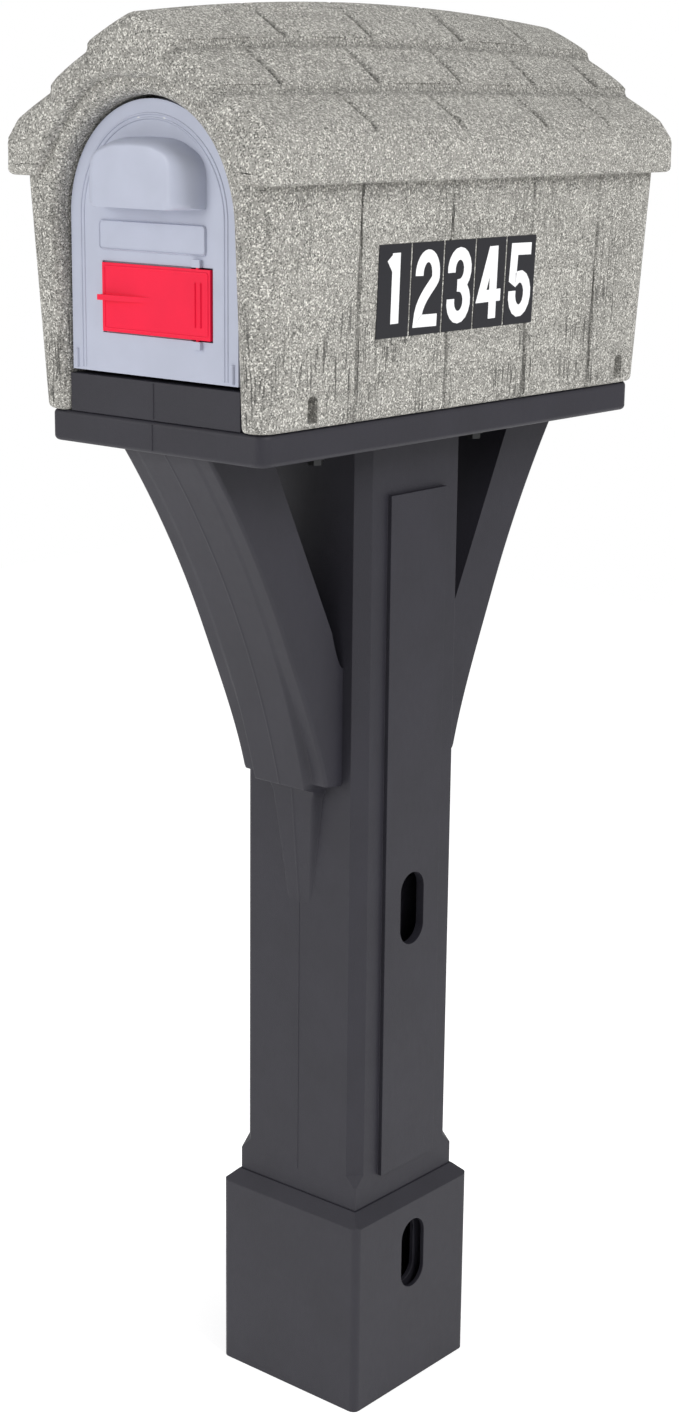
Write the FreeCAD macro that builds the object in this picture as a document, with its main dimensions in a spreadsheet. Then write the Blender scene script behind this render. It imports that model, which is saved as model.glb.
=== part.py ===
# Residential mailbox on a moulded post.
# Frame: origin on the ground under the middle of the post, +Z up, the door faces -Y,
# the long axis of the mailbox is Y and the house number is on the +X wall.
import FreeCAD, Part
import Sketcher
import math
import os
import re

Vector = FreeCAD.Vector
UP = Vector(0, 0, 1)

doc = FreeCAD.newDocument("PostMailbox")
sheet = doc.addObject("Spreadsheet::Sheet", "Sizes")

# Driving dimensions in millimetres. A "front" or "reach" is a distance from the Z axis.
SIZES = (
    # post and its base sleeve
    ("post_width", 161.0, "square post, across the flats"),
    ("post_wall", 5.0, "wall of the post moulding"),
    ("post_chamfer", 13.0, "leg of the stopped corner chamfers"),
    ("chamfer_start", 262.0, "height where the chamfer reaches its full leg"),
    ("base_width", 190.0, "square base sleeve"),
    ("base_height", 225.0, "top of the sleeve's sloped shoulder"),
    ("base_shoulder", 13.0, "leg of the sloped shoulder"),
    ("base_wall", 5.0, "wall of the sleeve"),
    ("base_corner", 8.0, "radius of the sleeve's upright edges"),
    ("panel_width", 88.0, "raised panel on each side of the post"),
    ("panel_foot", 8.0, "panel starts this far below the full chamfer"),
    ("panel_head", 59.0, "panel stops this far below the tray"),
    ("panel_proud", 5.0, "how far the panel stands out"),
    ("slot_width", 38.0, "fixing slots through base and panel"),
    ("slot_length", 78.0, "overall length of a fixing slot"),
    ("liner_slot_width", 26.0, "inner fixing slots, through the liner"),
    ("liner_slot_length", 66.0, "overall length of an inner slot"),
    ("base_slot_height", 152.0, "centre of the base slots"),
    ("panel_slot_height", 541.0, "centre of the panel slots"),
    ("liner_bore", 92.0, "square socket for a 4x4 timber, 89 mm actual"),
    ("liner_wall", 5.0, "wall of the socket liner"),
    ("liner_flange", 5.0, "thickness of the liner's two spacer flanges"),
    ("slip_gap", 0.3, "clearance of pieces that slide together"),
    # arms
    ("arm_width", 112.0, "width over an arm's side walls"),
    ("arm_wall", 5.0, "wall of the arm mouldings"),
    ("arm_setback", 15.0, "band behind the tray's edge"),
    ("waist_proud", 60.5, "band in front of the post at the waist"),
    ("waist_drop", 257.0, "waist below the tray"),
    ("arm_drop", 354.0, "lower end of the side walls below the tray"),
    ("arm_low_proud", 31.5, "band in front of the post at that end"),
    ("arm_depth", 84.0, "depth of an arm at the tray"),
    ("crotch_drop", 231.0, "inner edge meets the post this far below the tray"),
    ("crotch_rise", 39.0, "height of the turn at the crotch"),
    ("crotch_proud", 17.5, "depth of that turn"),
    ("band_width", 72.0, "raised band down the middle of an arm"),
    ("band_step_top", 6.0, "step from band to side wall at the tray"),
    ("band_step", 16.0, "the same step from the waist down"),
    ("tail_drop", 497.0, "point of the band's tail below the tray"),
    ("tail_width", 28.0, "width of the tail at its point"),
    # tray and floor
    ("tray_top", 1067.0, "top of the tray, where the mailbox sits"),
    ("tray_thick", 30.0, "depth of the tray's rim"),
    ("tray_inset", 4.0, "tray inside the housing's foot all round"),
    ("tray_wall", 5.0, "wall of the tray"),
    ("tray_corner", 13.0, "plan radius of the tray's corners"),
    ("rib_drop", 20.0, "depth of the ribs under the tray"),
    ("rib_thick", 4.0, "thickness of those ribs"),
    ("floor_rise", 36.0, "floor of the mailbox above the tray"),
    ("floor_inset", 6.0, "floor riser behind the foot of the front wall"),
    ("floor_wall", 4.0, "wall of the floor moulding"),
    ("bolt_side", 56.0, "tray bolts from the middle, across X"),
    ("bolt_clear", 44.5, "tray bolts from the face of the post"),
    ("bolt_size", 8.0, "M8 tray bolts"),
    ("bolt_hole", 8.6, "clearance hole for them"),
    ("bolt_flats", 13.0, "hexagon head across its flats"),
    ("bolt_head", 5.5, "height of the hexagon head"),
    ("bolt_reach", 14.0, "bolt length above the tray"),
    ("boss_width", 22.0, "diameter of the moulded bosses"),
    ("boss_drop", 15.0, "tray boss below the rim"),
    ("washer_width", 18.0, "diameter of the tray washers"),
    ("washer_thick", 1.6, "thickness of the washers"),
    ("insert_width", 13.0, "diameter of the threaded inserts"),
    ("insert_length", 16.0, "length of the threaded inserts"),
    # housing: walls and roof in one moulding
    ("wall_foot_wide", 282.0, "walls across X at the tray"),
    ("wall_foot_long", 588.0, "walls along Y at the tray"),
    ("lean_side", 8.8, "how far the side walls lean out"),
    ("lean_end", 11.0, "how far the end walls lean out"),
    ("wall_corner", 12.0, "plan radius of the walls' corners"),
    ("housing_wall", 5.0, "wall of the housing"),
    ("wall_rise", 216.0, "height of the walls, tray to eave"),
    ("eave_face", 34.0, "height of the eave's upright edge"),
    ("eave_bevel", 17.0, "bevel from that edge to the slope"),
    ("eave_overhang", 15.2, "eave beyond the wall's head"),
    ("ridge_rise", 144.5, "ridge above the eave, at the gable ends"),
    ("roof_crown", 17.0, "rise of the ridge between the gables"),
    ("butt_low_side", 103.0, "lower shingle step from the middle"),
    ("butt_low_rise", 79.0, "foot of that step above the eave"),
    ("butt_high_side", 54.5, "upper shingle step from the middle"),
    ("butt_high_rise", 115.0, "foot of that step above the eave"),
    ("butt_rise", 5.0, "rise of a shingle step"),
    ("butt_run", 4.0, "run of a shingle step"),
    ("gable_inset", 11.0, "gable wall behind the roof's edge"),
    ("opening_wide", 217.0, "door opening"),
    ("arch_rise", 182.0, "springing line of the arch above the tray"),
    ("tunnel_inset", 14.0, "rear face of the mail compartment inside the rear wall's foot"),
    ("recess_front", 150.0, "number recess, front end"),
    ("recess_rear", 180.0, "number recess, rear end"),
    ("recess_rise", 68.0, "number recess above the tray"),
    ("recess_tall", 93.0, "height of the number recess"),
    ("recess_deep", 1.5, "depth of the number recess"),
    ("notch_front_inset", 65.0, "front housing screws from the front wall's foot"),
    ("notch_rear_inset", 36.0, "rear housing screws from the rear wall's foot"),
    ("notch_width", 13.0, "diameter of a screw notch"),
    ("notch_inset", 10.5, "housing screws inside the wall's foot"),
    ("foot_thick", 6.0, "foot that a housing screw clamps"),
    ("notch_tall", 24.0, "height of a screw notch"),
    ("screw_size", 4.8, "housing screw thread"),
    ("screw_head", 9.0, "housing screw head"),
    ("screw_head_high", 3.2, "height of that head"),
    ("screw_washer", 11.5, "housing screw washer"),
    ("screw_washer_thick", 1.0, "its thickness"),
    ("screw_sink", 4.5, "screw length below the tray's top"),
    # door and its hinge
    ("door_side_gap", 3.5, "gap beside and above the door"),
    ("door_foot_gap", 4.0, "gap between floor and door"),
    ("door_inset", 7.0, "door behind the foot of the front wall"),
    ("door_skin", 4.0, "thickness of the door's skin"),
    ("door_flange", 16.0, "depth of the door's edge flange"),
    ("hinge_deep", 7.0, "door hinge axis behind the door's face"),
    ("hinge_rise", 12.0, "door hinge axis above the door's lower edge"),
    ("hinge_pin", 6.0, "diameter of the door hinge pins"),
    ("hinge_gap", 0.05, "radial clearance in the door's bores"),
    ("hinge_boss", 13.0, "diameter of the door's hinge bosses"),
    ("hinge_pin_head", 10.0, "head of a door hinge pin"),
    ("hinge_pin_head_long", 3.0, "length of that head"),
    # hood handle
    ("hood_foot_wide", 133.0, "hood at the door, across X"),
    ("hood_front_wide", 93.0, "hood at its front"),
    ("hood_foot_rise", 10.0, "lower edge of the hood above the springing line"),
    ("hood_tall", 61.0, "height of the hood at the door"),
    ("hood_front_tall", 47.0, "height of the hood at its front"),
    ("hood_reach", 28.0, "hood in front of the door"),
    ("hood_wall", 3.5, "wall of the hood"),
    # flag
    ("flag_left", 63.0, "free end of the flag from the middle"),
    ("flag_right", 73.0, "tail end of the flag from the middle"),
    ("flag_rise", 38.0, "flag above the door's lower edge"),
    ("flag_tall", 62.5, "height of the flag"),
    ("flag_thick", 4.0, "thickness of the flag"),
    ("flag_gap", 1.5, "gap round the flag in its recess"),
    ("flag_axis", 56.6, "flag hinge from the middle"),
    ("flag_pivot", 4.0, "diameter of the flag's pivots"),
    ("flag_pivot_gap", 0.06, "radial clearance of the pivots"),
    ("flag_pivot_long", 6.0, "length of a pivot"),
    ("flag_rib_long", 63.0, "finger rib on the flag"),
    ("flag_rib_proud", 7.0, "finger rib's height at the free end"),
    ("flag_rib_thick", 5.0, "finger rib's thickness"),
    ("flag_floor", 1.5, "recess floor behind the closed flag"),
    ("flag_well", 19.0, "depth of the well for the flag's tail"),
    ("flag_well_side", 45.0, "inner side of that well"),
    ("lug_half", 5.0, "half width of a flag lug"),
    ("lug_proud", 3.5, "flag lug in front of the door"),
    ("label_half", 66.0, "half width of the blank label plaque"),
    ("label_rise", 113.0, "plaque above the door's lower edge"),
    ("label_tall", 25.0, "height of the plaque"),
    ("label_proud", 1.5, "plaque in front of the door"),
    # magnetic catch
    ("catch_gap", 0.3, "air gap of the closed catch"),
    ("magnet_half", 12.0, "half width of the magnet"),
    ("magnet_deep", 12.5, "magnet along Y"),
    ("magnet_drop", 5.0, "magnet below the door's edge flange"),
    ("magnet_tall", 17.0, "height of the magnet"),
    ("bracket_half", 15.0, "half width of the catch bracket"),
    ("bracket_deep", 14.0, "catch bracket along Y"),
    ("strike_half", 20.0, "half width of the strike plate"),
    ("strike_thick", 1.2, "thickness of the strike plate"),
    ("rivet_spacing", 32.0, "strike rivets, centre to centre"),
    ("rivet_size", 3.0, "rivet shank"),
    ("rivet_head", 5.0, "rivet head"),
    ("rivet_head_high", 1.0, "height of a rivet head"),
    # house number
    ("plate_count", 5.0, "number plates"),
    ("plate_start_gap", 7.0, "first plate behind the front end of the recess"),
    ("plate_pitch", 48.9, "from one plate to the next"),
    ("plate_wide", 46.5, "width of a plate"),
    ("plate_rise", 6.5, "plates above the recess's lower edge"),
    ("plate_tall", 85.5, "height of a plate"),
    ("plate_thick", 0.8, "thickness of a plate"),
)

# Heights, reaches and widths that follow from the sizes.
PLACES = (
    ("tray_low", "tray_top - tray_thick"),
    ("tray_wide", "wall_foot_wide - 2 * tray_inset"),
    ("tray_long", "wall_foot_long - 2 * tray_inset"),
    ("panel_low", "chamfer_start - panel_foot"),
    ("panel_high", "tray_low - panel_head"),
    ("arm_reach", "tray_long / 2 - arm_setback"),
    ("arm_inner_reach", "arm_reach - arm_depth"),
    ("arm_waist", "tray_low - waist_drop"),
    ("arm_waist_reach", "post_width / 2 + waist_proud"),
    ("arm_low", "tray_low - arm_drop"),
    ("arm_low_reach", "post_width / 2 + arm_low_proud"),
    ("arm_crotch", "tray_low - crotch_drop"),
    ("arm_crotch_reach", "post_width / 2 + crotch_proud"),
    ("tail_low", "tray_low - tail_drop"),
    ("bolt_along", "post_width / 2 + bolt_clear"),
    ("floor_top", "tray_top + floor_rise"),
    ("floor_front", "wall_foot_long / 2 - floor_inset"),
    ("wall_head_wide", "wall_foot_wide + 2 * lean_side"),
    ("wall_head_long", "wall_foot_long + 2 * lean_end"),
    ("roof_wide", "wall_head_wide + 2 * eave_overhang"),
    ("roof_long", "wall_head_long + 2 * gable_inset"),
    ("eave_low", "tray_top + wall_rise"),
    ("eave_high", "eave_low + eave_face"),
    ("ridge_height", "eave_low + ridge_rise"),
    ("butt_low_height", "eave_low + butt_low_rise"),
    ("butt_high_height", "eave_low + butt_high_rise"),
    ("arch_height", "tray_top + arch_rise"),
    ("tunnel_rear", "wall_foot_long / 2 - tunnel_inset"),
    ("recess_low", "tray_top + recess_rise"),
    ("notch_front", "wall_foot_long / 2 - notch_front_inset"),
    ("notch_rear", "wall_foot_long / 2 - notch_rear_inset"),
    ("notch_side", "wall_foot_wide / 2 - notch_inset"),
    ("notch_floor", "tray_top + foot_thick"),
    ("notch_high", "notch_floor + notch_tall"),
    ("door_wide", "opening_wide - 2 * door_side_gap"),
    ("door_low", "floor_top + door_foot_gap"),
    ("door_front", "wall_foot_long / 2 - door_inset"),
    ("hinge_front", "door_front - hinge_deep"),
    ("hinge_height", "door_low + hinge_rise"),
    ("hood_low", "arch_height + hood_foot_rise"),
    ("hood_foot_high", "hood_low + hood_tall"),
    ("hood_front_high", "hood_low + hood_front_tall"),
    ("flag_low", "door_low + flag_rise"),
    ("flag_high", "flag_low + flag_tall"),
    ("label_low", "door_low + label_rise"),
    ("label_high", "label_low + label_tall"),
    ("magnet_high", "arch_height + door_wide / 2 - door_skin - magnet_drop"),
    ("magnet_low", "magnet_high - magnet_tall"),
    ("plate_start", "recess_front - plate_start_gap"),
    ("plate_low", "recess_low + plate_rise"),
)

for line, (alias, value, note) in enumerate(SIZES, start=1):
    sheet.set(f"A{line}", note)
    sheet.set(f"B{line}", str(value))
    sheet.setAlias(f"B{line}", alias)
doc.recompute()

ALIASES = {alias: "Sizes" for alias, _, _ in SIZES} | {alias: "Places" for alias, _ in PLACES}
WORD = re.compile(r"[a-z_]+")
PROPERTIES = {
    "x": "Placement.Base.x",
    "y": "Placement.Base.y",
    "z": "Placement.Base.z",
    "turn": "Placement.Rotation.Angle",
    "lift": "AttachmentOffset.Base.z",
}
NODES = {}


def cells(formula):
    """The formula with each alias written as a cell of its sheet."""
    return WORD.sub(lambda word: f"{ALIASES[word[0]]}.{word[0]}" if word[0] in ALIASES else word[0],
                    formula)


def fill_places():
    """Second sheet, of formulas over the driving dimensions."""
    derived = doc.addObject("Spreadsheet::Sheet", "Places")
    for line, (alias, _) in enumerate(PLACES, start=1):
        derived.set(f"A{line}", alias)
        derived.setAlias(f"B{line}", alias)
    for line, (_, formula) in enumerate(PLACES, start=1):
        local = cells(formula).replace("Places.", "")
        derived.set(f"B{line}", f"={local}")
    doc.recompute()
    return derived


places = fill_places()


def size(alias):
    """A driving dimension or a place, read from its sheet."""
    source = places if ALIASES[alias] == "Places" else sheet
    return float(source.get(alias))


def bind(item, **formulas):
    """Tie properties of a document object to formulas over the sheet."""
    for key, formula in formulas.items():
        item.setExpression(PROPERTIES.get(key, key), cells(formula))


def keep(node, item):
    """Register a finished sub-part under its node name."""
    item.Label = node
    NODES[node] = item
    return item


# ---------------------------------------------------------------- shared shapes

def box(name, x, y, z):
    """Part::Box between two formulas on each axis; each argument is (low, high)."""
    item = doc.addObject("Part::Box", name)
    spans = dict(zip(("Length", "Width", "Height"), (x, y, z)))
    bind(item, **{side: f"({high}) - ({low})" for side, (low, high) in spans.items()})
    bind(item, x=x[0], y=y[0], z=z[0])
    return item


def rod(name, axis, radius, length, x="0", y="0", z="0"):
    """Part::Cylinder that runs from a point along a direction."""
    item = doc.addObject("Part::Cylinder", name)
    item.Placement = FreeCAD.Placement(Vector(), FreeCAD.Rotation(UP, axis))
    bind(item, Radius=radius, Height=length, x=x, y=y, z=z)
    return item


def fuse(name, items):
    """Union of two or more objects."""
    item = doc.addObject("Part::MultiFuse", name)
    item.Shapes = list(items)
    return item


def cut(name, base, tool):
    """Base with the tool taken away."""
    item = doc.addObject("Part::Cut", name)
    item.Base = base
    item.Tool = tool
    return item


def common(name, first, second):
    """What two objects share."""
    item = doc.addObject("Part::MultiCommon", name)
    item.Shapes = [first, second]
    return item


def group(name, items):
    """Separate solids of one node."""
    item = doc.addObject("Part::Compound", name)
    item.Links = list(items)
    return item


def shaped(node, shape):
    """A sub-part whose shape is computed here."""
    item = doc.addObject("Part::Feature", node)
    item.Shape = shape
    return keep(node, item)


def square_sketch(body, name, wide, deep=None, lift=None):
    """Centred rectangle on the body's XY plane, raised by the lift formula."""
    sketch = body.newObject("Sketcher::SketchObject", name)
    plane = next(item for item in body.Origin.OriginFeatures if item.Role == "XY_Plane")
    sketch.AttachmentSupport = (plane, [""])
    sketch.MapMode = "FlatFace"
    if lift:
        bind(sketch, lift=lift)
    corners = [Vector(-1, -1, 0), Vector(1, -1, 0), Vector(1, 1, 0), Vector(-1, 1, 0)]
    for start, end in zip(corners, corners[1:] + corners[:1]):
        sketch.addGeometry(Part.LineSegment(start * 50, end * 50), False)
    for side in range(4):
        sketch.addConstraint(Sketcher.Constraint("Coincident", side, 2, (side + 1) % 4, 1))
    for side, rule in enumerate(("Horizontal", "Vertical") * 2):
        sketch.addConstraint(Sketcher.Constraint(rule, side))
    sketch.addConstraint(Sketcher.Constraint("Symmetric", 0, 1, 1, 2, -1, 1))
    for side, rule, formula in ((0, "DistanceX", wide), (1, "DistanceY", deep or wide)):
        index = sketch.addConstraint(Sketcher.Constraint(rule, side, 1, side, 2, 100.0))
        sketch.setExpression(f"Constraints[{index}]", cells(formula))
    return sketch


def pad(body, name, sketch, length):
    """PartDesign pad along +Z."""
    item = body.newObject("PartDesign::Pad", name)
    item.Profile = sketch
    bind(item, Length=length)
    return item


def pocket_through(body, name, sketch):
    """PartDesign pocket right through the body, both ways."""
    item = body.newObject("PartDesign::Pocket", name)
    item.Profile = sketch
    item.Type = "ThroughAll"
    item.Midplane = True
    return item


def edges_where(item, test):
    """Names of an object's edges that pass a test."""
    doc.recompute()
    edges = enumerate(item.Shape.Edges, start=1)
    return [f"Edge{number}" for number, edge in edges if test(edge)]


def is_upright(edge):
    """Whether an edge runs straight along Z."""
    box_of = edge.BoundBox
    return box_of.XLength < 1e-6 and box_of.YLength < 1e-6 and box_of.ZLength > 1e-6


def slot(name, wide, long, centre, depth):
    """Upright stadium along X on both sides of the post, through to depth."""
    reach = f"({wide}) / 2"
    straight = f"(({long}) - ({wide})) / 2"
    middle = box(name + "Middle", (f"-({depth})", depth), (f"-{reach}", reach),
                 (f"{centre} - {straight}", f"{centre} + {straight}"))
    ends = [rod(f"{name}End{place}", Vector(1, 0, 0), reach, f"2 * ({depth})", f"-({depth})", "0",
                f"{centre} {sign} {straight}") for place, sign in (("Low", "-"), ("High", "+"))]
    return fuse(name, [middle] + ends)


def arch(name, half, y, low):
    """Upright sides with a half-round top on the springing line."""
    sides = box(name + "Sides", (f"-({half})", half), y, (low, "arch_height"))
    top = rod(name + "Top", Vector(0, 1, 0), half, f"({y[1]}) - ({y[0]})", "0", y[0], "arch_height")
    return fuse(name, [sides, top])


# ---------------------------------------------------------------- post

def fixing_slots(name, wide, long, depth):
    """The base slots and the panel slots, as one cutting tool."""
    heights = (("Base", "base_slot_height"), ("Panel", "panel_slot_height"))
    return fuse(name, [slot(name + place, wide, long, centre, depth) for place, centre in heights])


def build_base_sleeve():
    """Square skirt with rounded upright edges and a sloped shoulder, round the post's foot."""
    body = doc.addObject("PartDesign::Body", "BaseSleeveBody")
    skirt = pad(body, "Skirt", square_sketch(body, "SkirtPlan", "base_width"), "base_height")
    top = size("base_height")
    shoulder = body.newObject("PartDesign::Chamfer", "Shoulder")
    shoulder.Base = (skirt, edges_where(skirt, lambda edge: edge.BoundBox.ZMin > top - 1e-6))
    bind(shoulder, Size="base_shoulder")
    rounded = body.newObject("PartDesign::Fillet", "SkirtEdges")
    rounded.Base = (shoulder, edges_where(shoulder, is_upright))
    bind(rounded, Radius="base_corner")
    inside = square_sketch(body, "InsidePlan", "base_width - 2 * base_wall")
    hollow = body.newObject("PartDesign::Pocket", "Inside")
    hollow.Profile = inside
    hollow.Reversed = True
    bind(hollow, Length="base_height - base_shoulder - base_wall")
    pocket_through(body, "PostPassage",
                   square_sketch(body, "PassagePlan", "post_width + 2 * slip_gap"))
    slots = slot("SleeveSlots", "slot_width", "slot_length", "base_slot_height", "base_width")
    return keep("base_sleeve", cut("BaseSleeve", body, slots))


def corner_chamfer_tools():
    """Four cutters for the post's corners; each has a sloped foot that ends on the corner."""
    leg = size("post_chamfer")
    corner = size("post_width") / 2 * math.sqrt(2)
    depth = leg / math.sqrt(2)
    start = size("chamfer_start")
    top = size("tray_top") + leg
    outline = [
        Vector(corner, 0, start - leg),
        Vector(corner - depth, 0, start),
        Vector(corner - depth, 0, top),
        Vector(corner + leg, 0, top),
        Vector(corner + leg, 0, start - leg),
    ]
    blade = Part.Face(Part.makePolygon(outline + outline[:1]))
    blade.translate(Vector(0, -leg, 0))
    cutter = blade.extrude(Vector(0, 2 * leg, 0))
    tools = []
    for quarter in range(4):
        turned = cutter.copy()
        turned.rotate(Vector(), UP, 45 + 90 * quarter)
        tools.append(turned)
    item = doc.addObject("Part::Feature", "CornerChamfers")
    item.Shape = Part.makeCompound(tools)
    return item


def clipped_bore(name, gap):
    """Inside of the post, shrunk by a gap; its corners are clipped behind the chamfers."""
    inner = f"post_width / 2 - post_wall - ({gap})"
    square = box(name + "Square", (f"-({inner})", inner), (f"-({inner})", inner), ("-1", "tray_top"))
    reach = f"(post_width / sqrt(2) - post_chamfer / sqrt(2) - post_wall - ({gap}))"
    diamond = doc.addObject("Part::Box", name + "Diamond")
    diamond.Placement = FreeCAD.Placement(Vector(), FreeCAD.Rotation(UP, 45))
    bind(diamond, Length=f"2 * {reach}", Width=f"2 * {reach}", Height="tray_top + 1",
         x="0", y=f"-sqrt(2) * {reach}", z="-1")
    return common(name, square, diamond)


def build_post_column():
    """Hollow square post with stopped chamfers and a raised panel on each side."""
    body = doc.addObject("PartDesign::Body", "PostBody")
    pad(body, "PostOutside", square_sketch(body, "PostPlan", "post_width"), "tray_top - tray_wall")
    chamfered = cut("ChamferedPost", body, corner_chamfer_tools())
    panel_side = "post_width / 2 + panel_proud"
    panels = box("SidePanels", (f"-({panel_side})", panel_side),
                 ("-panel_width / 2", "panel_width / 2"), ("panel_low", "panel_high"))
    outside = fuse("PostWithPanels", [chamfered, panels])
    hollow = cut("HollowPost", outside, clipped_bore("PostBore", "0"))
    tools = fixing_slots("PostSlots", "slot_width", "slot_length", "post_width")
    return keep("post_column", cut("PostColumn", hollow, tools))


def build_post_liner():
    """Square tube that takes the timber, with a spacer flange at each end."""
    body = doc.addObject("PartDesign::Body", "LinerBody")
    reach = "tray_top - tray_wall"
    flange_width = "post_width - 2 * post_wall"
    pad(body, "LinerTube", square_sketch(body, "TubePlan", "liner_bore + 2 * liner_wall"), reach)
    pad(body, "LowFlange", square_sketch(body, "LowFlangePlan", flange_width), "liner_flange")
    high_plan = square_sketch(body, "HighFlangePlan", flange_width, lift=f"{reach} - liner_flange")
    pad(body, "HighFlange", high_plan, "liner_flange")
    pocket_through(body, "TimberSocket", square_sketch(body, "SocketPlan", "liner_bore"))
    fitted = common("FittedLiner", body, clipped_bore("LinerRoom", "slip_gap"))
    tools = fixing_slots("LinerSlots", "liner_slot_width", "liner_slot_length", "post_width")
    return keep("post_liner", cut("PostLiner", fitted, tools))


# ---------------------------------------------------------------- arms

def side_outline(points):
    """Closed face in the YZ plane; three points in a tuple make an arc, two a line."""
    edges = []
    for run in points:
        spots = [Vector(0, -reach, height) for reach, height in run]
        edge = Part.Arc(*spots) if len(spots) == 3 else Part.LineSegment(*spots)
        edges.append(edge.toShape())
    return Part.Face(Part.Wire(edges))


def thick(face, width):
    """Solid of the given width across X, centred."""
    face = face.copy()
    face.translate(Vector(-width / 2, 0, 0))
    return face.extrude(Vector(width, 0, 0))


def arm_body(inset):
    """Side walls and front of an arm, shrunk by inset; an inset arm is its hollow."""
    post = size("post_width") / 2 + inset
    top = size("tray_top") - size("tray_wall") + (1 if inset else 0)
    rim = size("tray_low")
    step = size("band_step") + inset
    outer_top = (size("arm_reach") - size("band_step_top") - inset, rim)
    outer_mid = (size("arm_waist_reach") - step, size("arm_waist"))
    outer_low = (size("arm_low_reach") - step, size("arm_low") + inset)
    inner_top = (size("arm_inner_reach") + inset, rim)
    inner_low = (size("arm_crotch_reach") + inset, size("arm_crotch") + size("crotch_rise"))
    crotch = (post, size("arm_crotch") - inset)
    turn = ((inner_low[0] + post) / 2 - 3, (inner_low[1] + crotch[1]) / 2 + 3)
    outline = [
        ((outer_top[0], top), outer_top),
        (outer_top, outer_mid, outer_low),
        (outer_low, (post, outer_low[1])),
        ((post, outer_low[1]), crotch),
        (crotch, turn, inner_low),
        (inner_low, inner_top),
        (inner_top, (inner_top[0], top)),
        ((inner_top[0], top), (outer_top[0], top)),
    ]
    return thick(side_outline(outline), size("arm_width") - 2 * inset)


def arm_band():
    """Raised band down the middle of an arm and its tapering tail on the post."""
    post = size("post_width") / 2
    rim = size("tray_low")
    crest = (size("arm_reach"), rim)
    waist = (size("arm_waist_reach"), size("arm_waist"))
    tip = (post + 2, size("tail_low"))
    back = (size("arm_inner_reach") + size("arm_wall"), rim)
    outline = [
        (crest, waist, tip),
        (tip, (post, tip[1])),
        ((post, tip[1]), (post, size("arm_crotch"))),
        ((post, size("arm_crotch")), back),
        (back, crest),
    ]
    strip = thick(side_outline(outline), size("band_width"))
    wide, narrow = size("band_width") / 2, size("tail_width") / 2
    low, high = size("tail_low"), size("arm_low")
    taper = [Vector(-narrow, 0, low), Vector(narrow, 0, low), Vector(wide, 0, high),
             Vector(wide, 0, rim), Vector(-wide, 0, rim), Vector(-wide, 0, high)]
    front = Part.Face(Part.makePolygon(taper + taper[:1]))
    return strip.common(front.extrude(Vector(0, -size("arm_reach") - 1, 0)))


def build_arms():
    """Front arm, hollow and open under the tray, and its mirror image behind the post."""
    arm = arm_body(0).fuse(arm_band()).cut(arm_body(size("arm_wall"))).removeSplitter()
    shaped("front_arm", arm)
    shaped("rear_arm", arm.mirror(Vector(), Vector(0, 1, 0)))


# ---------------------------------------------------------------- tray, floor and bolts

BOLT_SIGNS = [(across, along) for across in ("", "-") for along in ("", "-")]


def bolt_places():
    """Formulas of the four tray bolt axes."""
    return [(f"{across}bolt_side", f"{along}bolt_along") for across, along in BOLT_SIGNS]


def at_bolts(name, radius, low, high):
    """One upright cylinder on each tray bolt axis."""
    return [rod(f"{name}{number}", UP, radius, f"({high}) - ({low})", x, y, low)
            for number, (x, y) in enumerate(bolt_places(), start=1)]


def build_tray():
    """Shallow tray, open below, with ribs and four bolt bosses."""
    body = doc.addObject("PartDesign::Body", "TrayBody")
    plan = square_sketch(body, "TrayPlan", "tray_wide", "tray_long", "tray_low")
    rim = pad(body, "TrayRim", plan, "tray_thick")
    rounded = body.newObject("PartDesign::Fillet", "TrayCorners")
    rounded.Base = (rim, edges_where(rim, is_upright))
    bind(rounded, Radius="tray_corner")
    inside = square_sketch(body, "TrayInside", "tray_wide - 2 * tray_wall",
                           "tray_long - 2 * tray_wall", "tray_low")
    hollow = body.newObject("PartDesign::Pocket", "TrayHollow")
    hollow.Profile = inside
    hollow.Reversed = True
    bind(hollow, Length="tray_thick - tray_wall")
    top = "tray_top - tray_wall"
    inner = "tray_wide / 2 - tray_wall"
    ribs = []
    for across, spans in (("Left", (f"-({inner})", "-arm_width / 2 - slip_gap")),
                          ("Right", ("arm_width / 2 + slip_gap", inner))):
        for number, place in enumerate(("-0.72", "-0.56", "0.56", "0.72"), start=1):
            middle = f"{place} * tray_long / 2"
            ribs.append(box(f"Rib{across}{number}", spans,
                            (f"{middle} - rib_thick / 2", f"{middle} + rib_thick / 2"),
                            (f"{top} - rib_drop", top)))
    bosses = at_bolts("TrayBoss", "boss_width / 2", "tray_low - boss_drop", top)
    solid = fuse("TraySolid", [body] + ribs + bosses)
    holes = at_bolts("TrayHole", "bolt_hole / 2", "tray_low - boss_drop - 1",
                     "tray_top + 1")
    screws = at_notches("TrayScrewHole", "screw_size / 2", "tray_top - screw_sink", "tray_top + 1")
    return keep("tray", cut("Tray", solid, fuse("TrayHoles", holes + screws)))


def build_floor_deck():
    """Raised floor of the mail compartment; its front is the riser under the door."""
    half = "opening_wide / 2 - slip_gap"
    rear = "tunnel_rear - slip_gap"
    top = "floor_top"
    block = box("FloorBlock", (f"-({half})", half), ("-floor_front", rear), ("tray_top", top))
    inside = box("FloorInside", (f"-({half} - floor_wall)", f"{half} - floor_wall"),
                 ("-floor_front + floor_wall", f"{rear} - floor_wall"),
                 ("tray_top - 1", f"{top} - floor_wall"))
    shell = cut("FloorShell", block, inside)
    bosses = at_bolts("FloorBoss", "boss_width / 2", "tray_top", f"{top} - floor_wall")
    solid = fuse("FloorSolid", [shell] + bosses)
    seats = at_bolts("InsertSeat", "insert_width / 2", "tray_top - 1", "tray_top + insert_length")
    return keep("floor_deck", cut("FloorDeck", solid, fuse("InsertSeats", seats)))


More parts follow.
